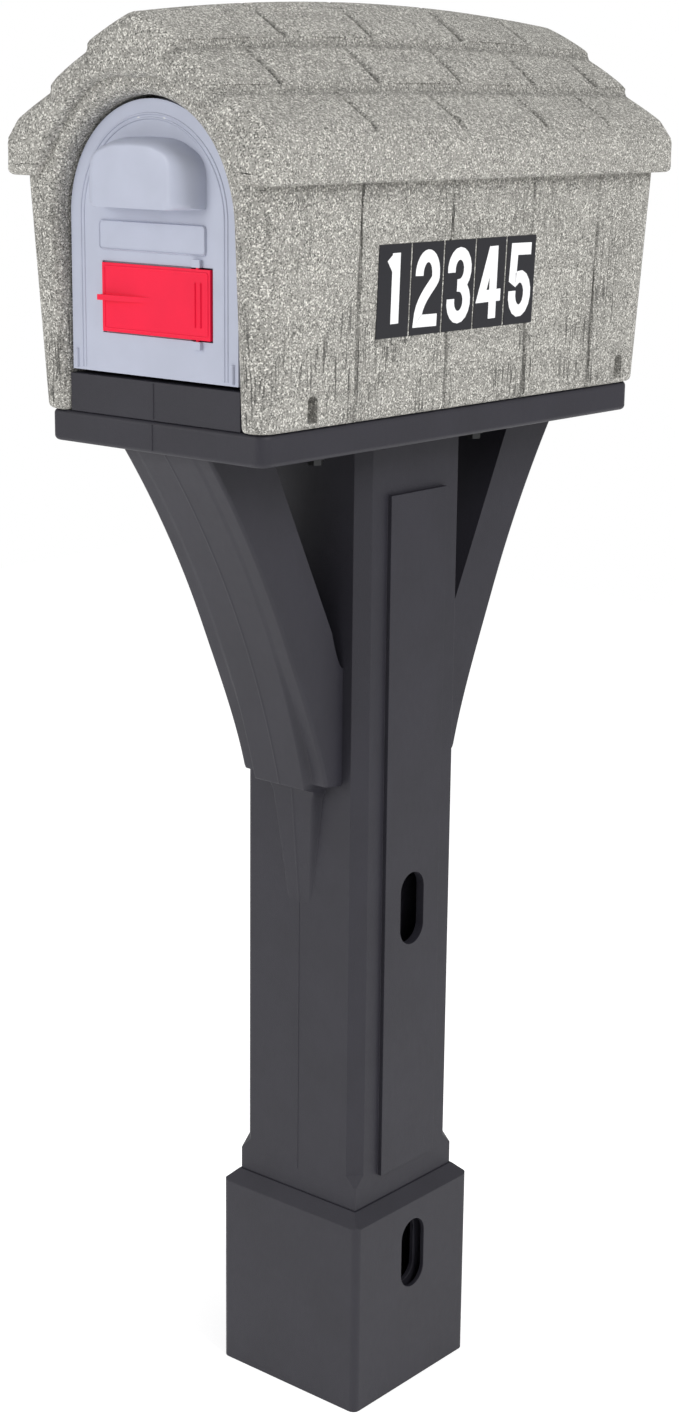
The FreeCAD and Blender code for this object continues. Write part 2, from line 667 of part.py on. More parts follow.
def build_tray_bolts():
    """M8 hexagon bolts up through tray and floor, with washers and threaded inserts."""
    seat = "tray_low - boss_drop"
    under = f"{seat} - washer_thick"
    shanks = at_bolts("BoltShank", "bolt_size / 2", under, "tray_top + bolt_reach")
    bolts = []
    for number, (shank, (x, y)) in enumerate(zip(shanks, bolt_places()), start=1):
        head = doc.addObject("Part::Prism", f"BoltHead{number}")
        head.Polygon = 6
        bind(head, Circumradius="bolt_flats / sqrt(3)", Height="bolt_head",
             x=x, y=y, z=f"{under} - bolt_head")
        bolts.append(fuse(f"Bolt{number}", [shank, head]))
    keep("tray_bolts", group("TrayBolts", bolts))
    discs = at_bolts("WasherDisc", "washer_width / 2", under, seat)
    holes = at_bolts("WasherHole", "bolt_hole / 2", f"{under} - 1", f"{seat} + 1")
    washers = [cut(f"Washer{number}", disc, hole)
               for number, (disc, hole) in enumerate(zip(discs, holes), start=1)]
    keep("tray_washers", group("TrayWashers", washers))
    sleeves = at_bolts("InsertSleeve", "insert_width / 2", "tray_top", "tray_top + insert_length")
    threads = at_bolts("InsertThread", "bolt_size / 2", "tray_top - 1", "tray_top + insert_length + 1")
    inserts = [cut(f"Insert{number}", sleeve, thread)
               for number, (sleeve, thread) in enumerate(zip(sleeves, threads), start=1)]
    keep("floor_inserts", group("FloorInserts", inserts))


# ---------------------------------------------------------------- housing

def notch_places():
    """Formulas of the four housing screw axes."""
    return [(f"{side}notch_side", along) for side in ("", "-")
            for along in ("-notch_front", "notch_rear")]


def at_notches(name, radius, low, high):
    """One upright cylinder on each housing screw axis."""
    return [rod(f"{name}{number}", UP, radius, f"({high}) - ({low})", x, y, low)
            for number, (x, y) in enumerate(notch_places(), start=1)]


def rounded_rectangle(half_x, half_y, corner, height):
    """Wire round the Z axis with rounded corners, at a height."""
    arcs = []
    for quarter, (sign_x, sign_y) in enumerate(((1, 1), (-1, 1), (-1, -1), (1, -1))):
        centre = Vector(sign_x * (half_x - corner), sign_y * (half_y - corner), height)
        circle = Part.Circle(centre, UP, corner)
        start = quarter * math.pi / 2
        arcs.append(Part.ArcOfCircle(circle, start, start + math.pi / 2))
    edges = []
    for arc, following in zip(arcs, arcs[1:] + arcs[:1]):
        edges.append(arc.toShape())
        edges.append(Part.makeLine(arc.EndPoint, following.StartPoint))
    return Part.Wire(edges)


def wall_block(inset, low, high):
    """The leaning walls as a solid, shrunk by inset, between two heights."""
    foot, head = size("tray_top"), size("eave_low")
    wires = []
    for height in (low, high):
        share = (height - foot) / (head - foot)
        wide = size("wall_foot_wide") + share * (size("wall_head_wide") - size("wall_foot_wide"))
        long = size("wall_foot_long") + share * (size("wall_head_long") - size("wall_foot_long"))
        corner = size("wall_corner") - inset
        wires.append(rounded_rectangle(wide / 2 - inset, long / 2 - inset, corner, height))
    return Part.makeLoft(wires, True, True)


def roof_side():
    """Roof section from the eave to the ridge, as (side, height) pairs."""
    run, rise = size("butt_run"), size("butt_rise")
    eave, bevel = size("roof_wide") / 2, size("eave_bevel")
    side = [(eave, size("eave_low")), (eave, size("eave_high")),
            (eave - bevel, size("eave_high") + bevel)]
    for butt in ("butt_low", "butt_high"):
        foot_side, foot_height = size(butt + "_side"), size(butt + "_height")
        side.append((foot_side + run / 2, foot_height))
        side.append((foot_side - run / 2, foot_height + rise))
    return side


def roof_block(inset):
    """Crowned roof as a solid; an inset roof is its hollow."""
    stations = 7
    half_long = size("roof_long") / 2
    eave = size("roof_wide") / 2
    wires = []
    for station in range(stations):
        along = half_long * (2 * station / (stations - 1) - 1)
        crown = size("roof_crown") * (1 - (along / half_long) ** 2)
        points = []
        for side, height in roof_side():
            lift = crown * (1 - side / eave) ** 1.8
            shift = inset if height == size("eave_low") else -1.25 * inset
            points.append(Vector(side - inset, along, height + lift + shift))
        ridge = Vector(0, along, size("ridge_height") + crown - 1.25 * inset)
        mirrored = [Vector(-point.x, point.y, point.z) for point in reversed(points)]
        wires.append(Part.makePolygon(points + [ridge] + mirrored + points[:1]))
    return Part.makeLoft(wires, True, False)


def gable_recess(sign):
    """Space between the roof's front or rear edge and the gable wall, inside the rake."""
    half_long = size("roof_long") / 2
    rake = size("roof_wide") / 2 - size("wall_head_wide") / 2 + 23
    eave = size("roof_wide") / 2 - rake
    slope_low, slope_high = size("butt_low_height"), size("butt_high_height")
    points = [(eave, size("eave_low") - 1), (eave, size("eave_low")),
              (size("butt_low_side") - 6, slope_low - rake + 8),
              (size("butt_high_side") - 4, slope_high - rake + 6),
              (size("butt_high_side") / 2 - 6, slope_high - rake + 11)]
    outline = [Vector(side, 0, height) for side, height in points]
    outline += [Vector(-point.x, 0, point.z) for point in reversed(outline)]
    face = Part.Face(Part.makePolygon(outline + outline[:1]))
    depth = size("gable_inset")
    face.translate(Vector(0, sign * (half_long - depth), 0))
    return face.extrude(Vector(0, sign * 2 * depth, 0))


def tunnel_block(half, rear, low):
    """Arched mail compartment as a solid, from before the gable to its rear face."""
    front = size("roof_long")
    sides = Part.makeBox(2 * half, front + rear, size("arch_height") - low,
                         Vector(-half, -front, low))
    top = Part.makeCylinder(half, front + rear, Vector(0, -front, size("arch_height")),
                            Vector(0, 1, 0))
    return sides.fuse(top).removeSplitter()


def housing_shell():
    """Walls and roof round the compartment, hollow between them and open at the tray."""
    foot, head = size("tray_top"), size("eave_low")
    wall = size("housing_wall")
    outside = wall_block(0, foot, head).fuse(roof_block(0))
    for sign in (-1, 1):
        outside = outside.cut(gable_recess(sign))
    half = size("opening_wide") / 2
    front = size("wall_foot_long") / 2 - wall
    stem = Part.makeBox(size("roof_wide"), 2 * front, size("ridge_height"),
                        Vector(-size("roof_wide") / 2, -front, 0))
    hollow = wall_block(wall, foot - 1, head + 2 * wall).fuse(roof_block(wall)).common(stem)
    hollow = hollow.cut(tunnel_block(half + wall, size("tunnel_rear") + wall, foot - 2))
    return outside.cut(hollow).cut(tunnel_block(half, size("tunnel_rear"), foot - 1))


def lean():
    """Formula of the side walls' lean from upright, in degrees."""
    return "atan((wall_head_wide - wall_foot_wide) / 2 / (eave_low - tray_top))"


def wall_side(height):
    """Formula of the side wall's outer face at a height."""
    run = "(wall_head_wide - wall_foot_wide) / 2 / (eave_low - tray_top)"
    return f"wall_foot_wide / 2 + ({height} - tray_top) * {run}"


def leaning_box(name, depth, y, low, tall, thickness):
    """Box laid against the +X wall, its inner face the given depth behind the wall's."""
    item = doc.addObject("Part::Box", name)
    item.Placement = FreeCAD.Placement(Vector(), FreeCAD.Rotation(Vector(0, 1, 0), 1.0))
    bind(item, Length=thickness, Width=f"({y[1]}) - ({y[0]})", Height=tall,
         x=f"{wall_side(low)} - ({depth})", y=y[0], z=low, turn=lean())
    return item


def mirrored(name, item):
    """Mirror image of an object across X = 0."""
    copy = doc.addObject("Part::Mirroring", name)
    copy.Source = item
    copy.Normal = Vector(1, 0, 0)
    return copy


def build_housing():
    """Walls and roof, with number recesses, screw notches and hinge pin holes."""
    shell = doc.addObject("Part::Feature", "HousingShell")
    shell.Shape = housing_shell()
    recess = leaning_box("NumberRecess", "recess_deep", ("-recess_front", "recess_rear"),
                         "recess_low", "recess_tall", "recess_deep + 5")
    notches = at_notches("Notch", "notch_width / 2", "notch_floor", "notch_high")
    holes = at_notches("HousingScrewHole", "screw_size / 2", "tray_top - 1", "notch_floor + 1")
    pin_half = "opening_wide / 2 + 2 * housing_wall"
    pins = rod("PinHoles", Vector(1, 0, 0), "hinge_pin / 2", f"2 * ({pin_half})",
               f"-({pin_half})", "-hinge_front", "hinge_height")
    pockets, mouths = [], []
    for end, along in (("Front", "-notch_front"), ("Rear", "notch_rear")):
        around = "notch_width / 2 + housing_wall"
        pocket = box(f"NotchPocket{end}",
                     (f"notch_side - ({around})", "wall_foot_wide / 2 - housing_wall / 2"),
                     (f"{along} - ({around})", f"{along} + {around}"),
                     ("tray_top", "notch_high + housing_wall"))
        mouth = box(f"NotchMouth{end}", ("notch_side", "wall_head_wide / 2"),
                    (f"{along} - notch_width / 2", f"{along} + notch_width / 2"),
                    ("notch_floor", "notch_high"))
        pockets += [pocket, mirrored(f"NotchPocket{end}Far", pocket)]
        mouths += [mouth, mirrored(f"NotchMouth{end}Far", mouth)]
    solid = fuse("HousingSolid", [shell] + pockets)
    tools = fuse("HousingTools", [recess, mirrored("NumberRecessFar", recess), pins]
                 + notches + mouths + holes)
    return keep("housing", cut("Housing", solid, tools))


def build_housing_screws():
    """Pan-head screws that hold the housing's foot to the tray, with washers."""
    top = "notch_floor + screw_washer_thick"
    shanks = at_notches("ScrewShank", "screw_size / 2", "tray_top - screw_sink", top)
    heads = at_notches("ScrewHead", "screw_head / 2", top, f"{top} + screw_head_high")
    screws = [fuse(f"Screw{number}", pair)
              for number, pair in enumerate(zip(shanks, heads), start=1)]
    keep("housing_screws", group("HousingScrews", screws))
    discs = at_notches("ScrewWasherDisc", "screw_washer / 2", "notch_floor", top)
    holes = at_notches("ScrewWasherHole", "screw_size / 2 + 0.2", "notch_floor - 1", f"{top} + 1")
    washers = [cut(f"ScrewWasher{number}", disc, hole)
               for number, (disc, hole) in enumerate(zip(discs, holes), start=1)]
    keep("housing_washers", group("HousingWashers", washers))


def build_number_plates():
    """Adhesive number plates side by side in the +X recess."""
    for number in range(int(size("plate_count"))):
        start = f"-plate_start + {number} * plate_pitch"
        plate = leaning_box(f"NumberPlate{number + 1}", "recess_deep",
                            (start, f"{start} + plate_wide"), "plate_low", "plate_tall",
                            "plate_thick")
        keep(f"number_plate_{number + 1}", plate)


# ---------------------------------------------------------------- door, flag and catch

def door_outline(name, inset, y):
    """The door's arched outline, shrunk by inset, between two depths."""
    half = f"door_wide / 2 - ({inset})"
    sides = box(name + "Sides", (f"-({half})", half), y, (f"door_low + ({inset})", "arch_height"))
    top = rod(name + "Top", Vector(0, 1, 0), half, f"({y[1]}) - ({y[0]})", "0", y[0], "arch_height")
    return fuse(name, [sides, top])


def hood_block(inset):
    """Drafted hood as a solid, shrunk by inset; an inset hood is open below."""
    door, front = -size("door_front"), -size("door_front") - size("hood_reach") + inset
    low = size("hood_low") - (1 if inset else 0)
    wires = []
    for depth, wide, high in ((door, "hood_foot_wide", "hood_foot_high"),
                              (front, "hood_front_wide", "hood_front_high")):
        half = size(wide) / 2 - inset
        top = size(high) - inset
        corner = half / 3
        shoulder = Vector(half, depth, top - corner)
        knee = Vector(half - corner * (1 - math.sqrt(0.5)), depth,
                      top - corner * (1 - math.sqrt(0.5)))
        crest = Vector(half - corner, depth, top)
        arc = Part.Arc(shoulder, knee, crest)
        far_knee, far_shoulder = Vector(-knee.x, depth, knee.z), Vector(-half, depth, shoulder.z)
        far_crest = Vector(-crest.x, depth, top)
        far_arc = Part.Arc(far_crest, far_knee, far_shoulder)
        edges = [Part.makeLine(Vector(half, depth, low), shoulder), arc.toShape(),
                 Part.makeLine(crest, far_crest), far_arc.toShape(),
                 Part.makeLine(far_shoulder, Vector(-half, depth, low)),
                 Part.makeLine(Vector(-half, depth, low), Vector(half, depth, low))]
        wires.append(Part.Wire(edges))
    return Part.makeLoft(wires, True, True)


def build_door():
    """Arched door with edge flange, hood handle, flag recess, label plaque and hinge bosses."""
    skin = door_outline("DoorSkin", "0", ("-door_front", "-door_front + door_skin"))
    edge = door_outline("DoorEdge", "0", ("-door_front", "-door_front + door_flange"))
    edge_inside = door_outline("DoorEdgeInside", "door_skin",
                               ("-door_front - 1", "-door_front + door_flange + 1"))
    flange = cut("DoorFlange", edge, edge_inside)
    hood = doc.addObject("Part::Feature", "Hood")
    hood.Shape = hood_block(0).cut(hood_block(size("hood_wall")))
    recess = (("-flag_left - flag_gap", "flag_right + flag_gap"),
              ("flag_low - flag_gap", "flag_high + flag_gap"))
    backing = box("FlagBacking", (f"{recess[0][0]} - door_skin", f"{recess[0][1]} + door_skin"),
                  ("-door_front + door_skin / 2", "-door_front + flag_thick / 2 + flag_floor + door_skin"),
                  (f"{recess[1][0]} - door_skin", f"{recess[1][1]} + door_skin"))
    well_wall = box("FlagWellWall", ("flag_well_side - door_skin", f"{recess[0][1]} + door_skin"),
                    ("-door_front + door_skin / 2", "-door_front + flag_well + door_skin"),
                    (f"{recess[1][0]} - door_skin", f"{recess[1][1]} + door_skin"))
    lug_y = ("-door_front - lug_proud", "-door_front + door_skin")
    lug_reach = "flag_pivot_long + 1"
    lug_x = ("flag_axis - lug_half", "flag_axis + lug_half")
    lugs = [box("LugHigh", lug_x, lug_y, (recess[1][1], f"{recess[1][1]} + {lug_reach}")),
            box("LugLow", lug_x, lug_y, (f"{recess[1][0]} - ({lug_reach})", recess[1][0]))]
    label = box("LabelPlaque", ("-label_half", "label_half"),
                ("-door_front - label_proud", "-door_front + door_skin / 2"),
                ("label_low", "label_high"))
    boss_inner = "door_wide / 2 - 2 * door_skin"
    bosses = [rod("HingeBossRight", Vector(1, 0, 0), "hinge_boss / 2", "1.5 * door_skin",
                  boss_inner, "-hinge_front", "hinge_height"),
              rod("HingeBossLeft", Vector(-1, 0, 0), "hinge_boss / 2", "1.5 * door_skin",
                  f"-({boss_inner})", "-hinge_front", "hinge_height")]
    solid = fuse("DoorSolid", [skin, flange, hood, backing, well_wall, label] + lugs + bosses)
    recess_cut = box("FlagRecess", recess[0], ("-door_front - label_proud - 1",
                                               "-door_front + flag_thick / 2 + flag_floor"), recess[1])
    well_cut = box("FlagWell", ("flag_well_side", recess[0][1]),
                   ("-door_front - 1", "-door_front + flag_well"), recess[1])
    pivots = rod("PivotHoles", UP, "flag_pivot / 2 + flag_pivot_gap",
                 f"flag_high - flag_low + 2 * ({lug_reach} + 1)", "flag_axis", "-door_front",
                 f"flag_low - ({lug_reach} + 1)")
    pins = rod("HingeBores", Vector(1, 0, 0), "hinge_pin / 2 + hinge_gap", "2 * door_wide",
               "-door_wide", "-hinge_front", "hinge_height")
    rivets = rivet_rods("RivetHole", "rivet_size / 2", "-door_front - 1", "-door_front + door_skin + 1")
    tools = fuse("DoorTools", [recess_cut, well_cut, pivots, pins] + rivets)
    return keep("door", cut("Door", solid, tools))


def build_door_hinge_pins():
    """Headed pins from the hollow of the housing into the door's bores."""
    pins = []
    for side, axis, sign in (("Right", Vector(-1, 0, 0), ""), ("Left", Vector(1, 0, 0), "-")):
        seat = "opening_wide / 2 + housing_wall"
        reach = f"{seat} - door_wide / 2 + 2 * door_skin"
        shank = rod(f"HingePinShank{side}", axis, "hinge_pin / 2", reach, f"{sign}({seat})",
                    "-hinge_front", "hinge_height")
        head = rod(f"HingePinHead{side}", axis, "hinge_pin_head / 2", "hinge_pin_head_long",
                   f"{sign}({seat} + hinge_pin_head_long)", "-hinge_front", "hinge_height")
        pins.append(fuse(f"HingePin{side}", [shank, head]))
    return keep("door_hinge_pins", group("DoorHingePins", pins))


def build_flag():
    """Flag with a finger rib at its free end and a pivot above and below."""
    half = "flag_thick / 2"
    plate = box("FlagPlate", ("-flag_left", "flag_right"),
                (f"-door_front - {half}", f"-door_front + {half}"), ("flag_low", "flag_high"))
    pivots = rod("FlagPivots", UP, "flag_pivot / 2", "flag_high - flag_low + 2 * flag_pivot_long",
                 "flag_axis", "-door_front", "flag_low - flag_pivot_long")
    face = -size("door_front") - size("flag_thick") / 2
    free = -size("flag_left")
    low = (size("flag_low") + size("flag_high") - size("flag_rib_thick")) / 2
    outline = [Vector(free, face + 1, low), Vector(free, face - size("flag_rib_proud"), low),
               Vector(free + size("flag_rib_long"), face, low),
               Vector(free + size("flag_rib_long"), face + 1, low)]
    rib = doc.addObject("Part::Feature", "FlagRib")
    rib.Shape = Part.Face(Part.makePolygon(outline + outline[:1])).extrude(
        Vector(0, 0, size("flag_rib_thick")))
    return keep("flag", fuse("Flag", [plate, pivots, rib]))


def rivet_rods(name, radius, low, high):
    """Two rods along Y on the strike rivets' axes."""
    centre = "(magnet_low + magnet_high) / 2"
    return [rod(f"{name}{side}", Vector(0, 1, 0), radius, f"({high}) - ({low})",
                f"{sign}rivet_spacing / 2", low, centre)
            for side, sign in (("Left", "-"), ("Right", ""))]


def build_catch():
    """Magnet on a bracket under the compartment's roof, and its strike plate on the door."""
    inner = "-door_front + door_skin"
    plate_back = f"{inner} + strike_thick"
    magnet_front = f"{plate_back} + catch_gap"
    magnet_back = f"{magnet_front} + magnet_deep"
    plate = box("StrikeBlank", ("-strike_half", "strike_half"), (inner, plate_back),
                ("magnet_low", "magnet_high"))
    holes = rivet_rods("StrikeHole", "rivet_size / 2", f"{inner} - 1", f"{plate_back} + 1")
    keep("strike_plate", cut("StrikePlate", plate, fuse("StrikeHoles", holes)))
    shanks = rivet_rods("RivetShank", "rivet_size / 2", "-door_front", plate_back)
    heads = rivet_rods("RivetHead", "rivet_head / 2", plate_back, f"{plate_back} + rivet_head_high")
    rivets = [fuse(f"Rivet{number}", pair) for number, pair in enumerate(zip(shanks, heads), 1)]
    keep("strike_rivets", group("StrikeRivets", rivets))
    keep("catch_magnet", box("CatchMagnet", ("-magnet_half", "magnet_half"),
                             (magnet_front, magnet_back), ("magnet_low", "magnet_high")))
    block = box("BracketBlock", ("-bracket_half", "bracket_half"),
                (magnet_back, f"{magnet_back} + bracket_deep"), ("magnet_low", "eave_high + roof_wide"))
    room = arch("BracketRoom", "opening_wide / 2", ("-roof_long / 2", "roof_long / 2"), "tray_top")
    keep("catch_bracket", common("CatchBracket", block, room))


def check_and_export():
    """Stop on any failed object or bad sub-part, then write one STEP file per node."""
    doc.recompute()
    failed = [item.Name for item in doc.Objects if {"Invalid", "Error"} & set(item.State)]
    bad = [node for node, item in NODES.items() if item.Shape.isNull() or not item.Shape.isValid()]
    if failed or bad:
        raise RuntimeError(f"failed objects {failed}, bad sub-parts {bad}")
    os.makedirs("parts", exist_ok=True)
    for node, item in NODES.items():
        item.Shape.exportStep(f"parts/{node}.step")
        print(f"{node}: {len(item.Shape.Solids)} solids, {item.Shape.Volume / 1000:.1f} cm3")


build_base_sleeve()
build_post_column()
build_post_liner()
build_arms()
build_tray()
build_floor_deck()
build_tray_bolts()
build_housing()
build_housing_screws()
build_number_plates()
build_door()
build_door_hinge_pins()
build_flag()
build_catch()
check_and_export()
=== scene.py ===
import math
from contextlib import contextmanager
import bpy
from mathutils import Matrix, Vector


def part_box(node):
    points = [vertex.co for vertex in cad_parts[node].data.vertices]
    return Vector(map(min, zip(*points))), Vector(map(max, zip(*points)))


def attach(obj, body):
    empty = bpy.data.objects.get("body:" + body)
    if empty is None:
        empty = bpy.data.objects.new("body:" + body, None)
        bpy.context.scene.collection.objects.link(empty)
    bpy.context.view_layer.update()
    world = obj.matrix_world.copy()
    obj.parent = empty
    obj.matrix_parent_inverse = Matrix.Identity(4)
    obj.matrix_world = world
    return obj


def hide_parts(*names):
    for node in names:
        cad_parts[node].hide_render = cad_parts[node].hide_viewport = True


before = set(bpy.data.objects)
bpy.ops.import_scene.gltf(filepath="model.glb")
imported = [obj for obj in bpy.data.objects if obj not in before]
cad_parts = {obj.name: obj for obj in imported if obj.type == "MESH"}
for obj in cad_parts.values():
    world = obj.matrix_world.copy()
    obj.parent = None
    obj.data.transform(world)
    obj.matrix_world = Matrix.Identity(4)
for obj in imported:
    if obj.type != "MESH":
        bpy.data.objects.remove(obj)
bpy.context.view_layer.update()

from types import SimpleNamespace

import bmesh
import bpy
from bpy.props import FloatProperty, FloatVectorProperty, IntProperty, PointerProperty
from mathutils import Quaternion, Vector

bl_info = {
    "name": "Residential mailbox on a moulded post",
    "version": (1, 0, 0),
    "blender": (4, 5, 0),
    "location": "View3D > Sidebar > Mailbox",
    "description": "Pieces, finishes and stage of a post-mounted mailbox with a shingled roof",
    "category": "Object",
}

MM = 0.001
WHITE = (1.0, 1.0, 1.0, 1.0)


def low_high(node):
    """Lowest and highest corner of a CAD node in millimetres."""
    low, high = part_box(node)
    return low / MM, high / MM


TRAY_HIGH = low_high("tray")[1]
HOUSING_HIGH = low_high("housing")[1]
DOOR_LOW, DOOR_HIGH = low_high("door")
FLAG_LOW, FLAG_HIGH = low_high("flag")

# Sizes that place the pieces on the CAD solids, in millimetres.
WALL_TALL = 216.0
WALL_PROUD = 4.0
BACK_INSET = 14.0
DOOR_GAP = 3.5
DOOR_SET_BACK = 7.0
FLAG_RISE = 38.0
FLAG_TALL = 62.5
FLAG_PROUD = 2.0

# Heights and reaches of the housing, door and flag, worked out from the CAD solids.
FOOT = TRAY_HIGH.z
EAVE = FOOT + WALL_TALL
ROOF_END = HOUSING_HIGH.y
ROOF_SIDE = HOUSING_HIGH.x
WALL_SIDE = TRAY_HIGH.x + WALL_PROUD
WALL_END = TRAY_HIGH.y + WALL_PROUD
COMPARTMENT_END = WALL_END - BACK_INSET
DOOR_HALF = DOOR_HIGH.x
OPENING_HALF = DOOR_HALF + DOOR_GAP
SPRING = DOOR_HIGH.z - DOOR_HALF
DOOR_FACE = -(WALL_END - DOOR_SET_BACK)
FLAG_FOOT = DOOR_LOW.z + FLAG_RISE
FLAG_TOP = FLAG_FOOT + FLAG_TALL
FLAG_RIGHT = FLAG_HIGH.x
FLAG_FACE = DOOR_FACE - FLAG_PROUD


# ---------------------------------------------------------------- settings

def length_setting(name, default, description, low=0.0):
    """A length that a user may change, given here in millimetres and kept in metres."""
    return FloatProperty(name=name, description=description, default=default * MM, min=low * MM,
                         precision=4, subtype="DISTANCE", unit="LENGTH")


def colour_setting(name, default, description):
    """A colour that a user may change."""
    return FloatVectorProperty(name=name, description=description, default=default, size=3,
                               min=0.0, max=1.0, subtype="COLOR")


class HousingSizes(bpy.types.PropertyGroup):
    """Sizes of the stone-look housing."""

    lean_side: length_setting("Side lean", 8.8, "How far the side walls lean out")
    lean_end: length_setting("End lean", 11.0, "How far the end walls lean out")
    corner: length_setting("Wall corner", 15.0, "Radius of the upright corners", 1.0)
    skin: length_setting("Skin", 3.4, "Thickness of the moulded skin", 1.0)
    foot_round: length_setting("Foot rounding", 5.0, "Rounding along the foot", 0.5)
    rim_round: length_setting("Rim rounding", 13.0, "Rounding of the opening", 1.0)
    plank_groove: length_setting("Plank groove", 2.2, "Depth of the plank grooves")
    shingle_groove: length_setting("Shingle joint", 6.5, "Depth of a joint between shingles")
    shingle_swell: length_setting("Shingle swell", 1.4, "Rise of a shingle's middle")
    crown: length_setting("Crown", 17.0, "Rise of the ridge between the gables")
    fascia_round: length_setting("Fascia rounding", 13.0, "Rounding of the roof's ends", 1.0)


class MouldingSizes(bpy.types.PropertyGroup):
    """Edge roundings of the moulded plastic pieces."""

    post_edge: length_setting("Post edge", 2.2, "Rounding of the post's edges", 0.1)
    tray_edge: length_setting("Tray edge", 4.6, "Rounding of the tray's rim", 0.1)
    door_edge: length_setting("Door edge", 1.2, "Rounding of the door's edges", 0.1)
    steps: IntProperty(name="Rounding steps", description="Facets across a rounded edge",
                       default=3, min=1, max=8)


class Finishes(bpy.types.PropertyGroup):
    """Colours of the moulded plastics, vinyl and metal."""

    stone: colour_setting("Stone", (0.352, 0.343, 0.316), "Base tone of the stone-look plastic")
    stone_light: colour_setting("Light flecks", (0.90, 0.88, 0.82), "Cream flecks in the stone")
    stone_dark: colour_setting("Dark flecks", (0.085, 0.083, 0.076), "Grey flecks in the stone")
    charcoal: colour_setting("Post plastic", (0.0180, 0.0170, 0.0245), "Charcoal plastic of the post")
    door: colour_setting("Door plastic", (0.42, 0.445, 0.54), "Blue-grey plastic of the door")
    flag: colour_setting("Flag plastic", (0.82, 0.006, 0.045), "Signal red plastic of the flag")
    vinyl: colour_setting("Number plate", (0.006, 0.006, 0.010), "Black vinyl of the plates")
    numeral: colour_setting("Numeral", (0.86, 0.86, 0.87), "White vinyl of the numerals")
    zinc: colour_setting("Zinc", (0.58, 0.59, 0.60), "Zinc-plated steel")
    brass: colour_setting("Brass", (0.66, 0.46, 0.16), "Brass of the threaded inserts")
    ferrite: colour_setting("Ferrite", (0.03, 0.03, 0.032), "Ferrite of the catch magnet")
    floor: colour_setting("Floor", (0.93, 0.93, 0.93), "Pale floor of the stage")


def in_millimetres(group):
    """A group's settings by name, its lengths in millimetres."""
    values = {name: getattr(group, name) for name in group.__annotations__}
    return SimpleNamespace(**{name: round(value / MM, 4) if isinstance(value, float) else value
                              for name, value in values.items()})


def housing_sizes():
    """The housing's sizes, in millimetres."""
    return in_millimetres(bpy.context.scene.mailbox_housing)


def moulding_sizes():
    """The edge roundings, in millimetres, and how many steps each has."""
    return in_millimetres(bpy.context.scene.mailbox_moulding)


def finishes():
    """The colours of the finishes."""
    return bpy.context.scene.mailbox_finishes


# ---------------------------------------------------------------- shader maths

class Number:
    """A number socket of a material, so that shader maths reads as Python."""

    def __init__(self, paint, socket):
        self.paint = paint
        self.socket = socket

    def maths(self, operation, *others):
        """A Math node on these inputs, None standing for this number."""
        inputs = [self if other is None else other for other in others]
        node = self.paint.node("ShaderNodeMath", {"operation": operation}, dict(enumerate(inputs)))
        return Number(self.paint, node.outputs[0])

    def __add__(self, other):
        return self.maths("ADD", None, other)

    def __radd__(self, other):
        return self.maths("ADD", other, None)

    def __sub__(self, other):
        return self.maths("SUBTRACT", None, other)

    def __rsub__(self, other):
        return self.maths("SUBTRACT", other, None)

    def __mul__(self, other):
        return self.maths("MULTIPLY", None, other)

    def __rmul__(self, other):
        return self.maths("MULTIPLY", other, None)

    def clear(self, low, high):
        """0 below low, 1 above high, smooth between."""
        node = self.paint.node(
            "ShaderNodeMapRange", {"interpolation_type": "SMOOTHSTEP", "clamp": True},
            {"Value": self, "From Min": low, "From Max": high, "To Min": 0.0, "To Max": 1.0})
        return Number(self.paint, node.outputs["Result"])


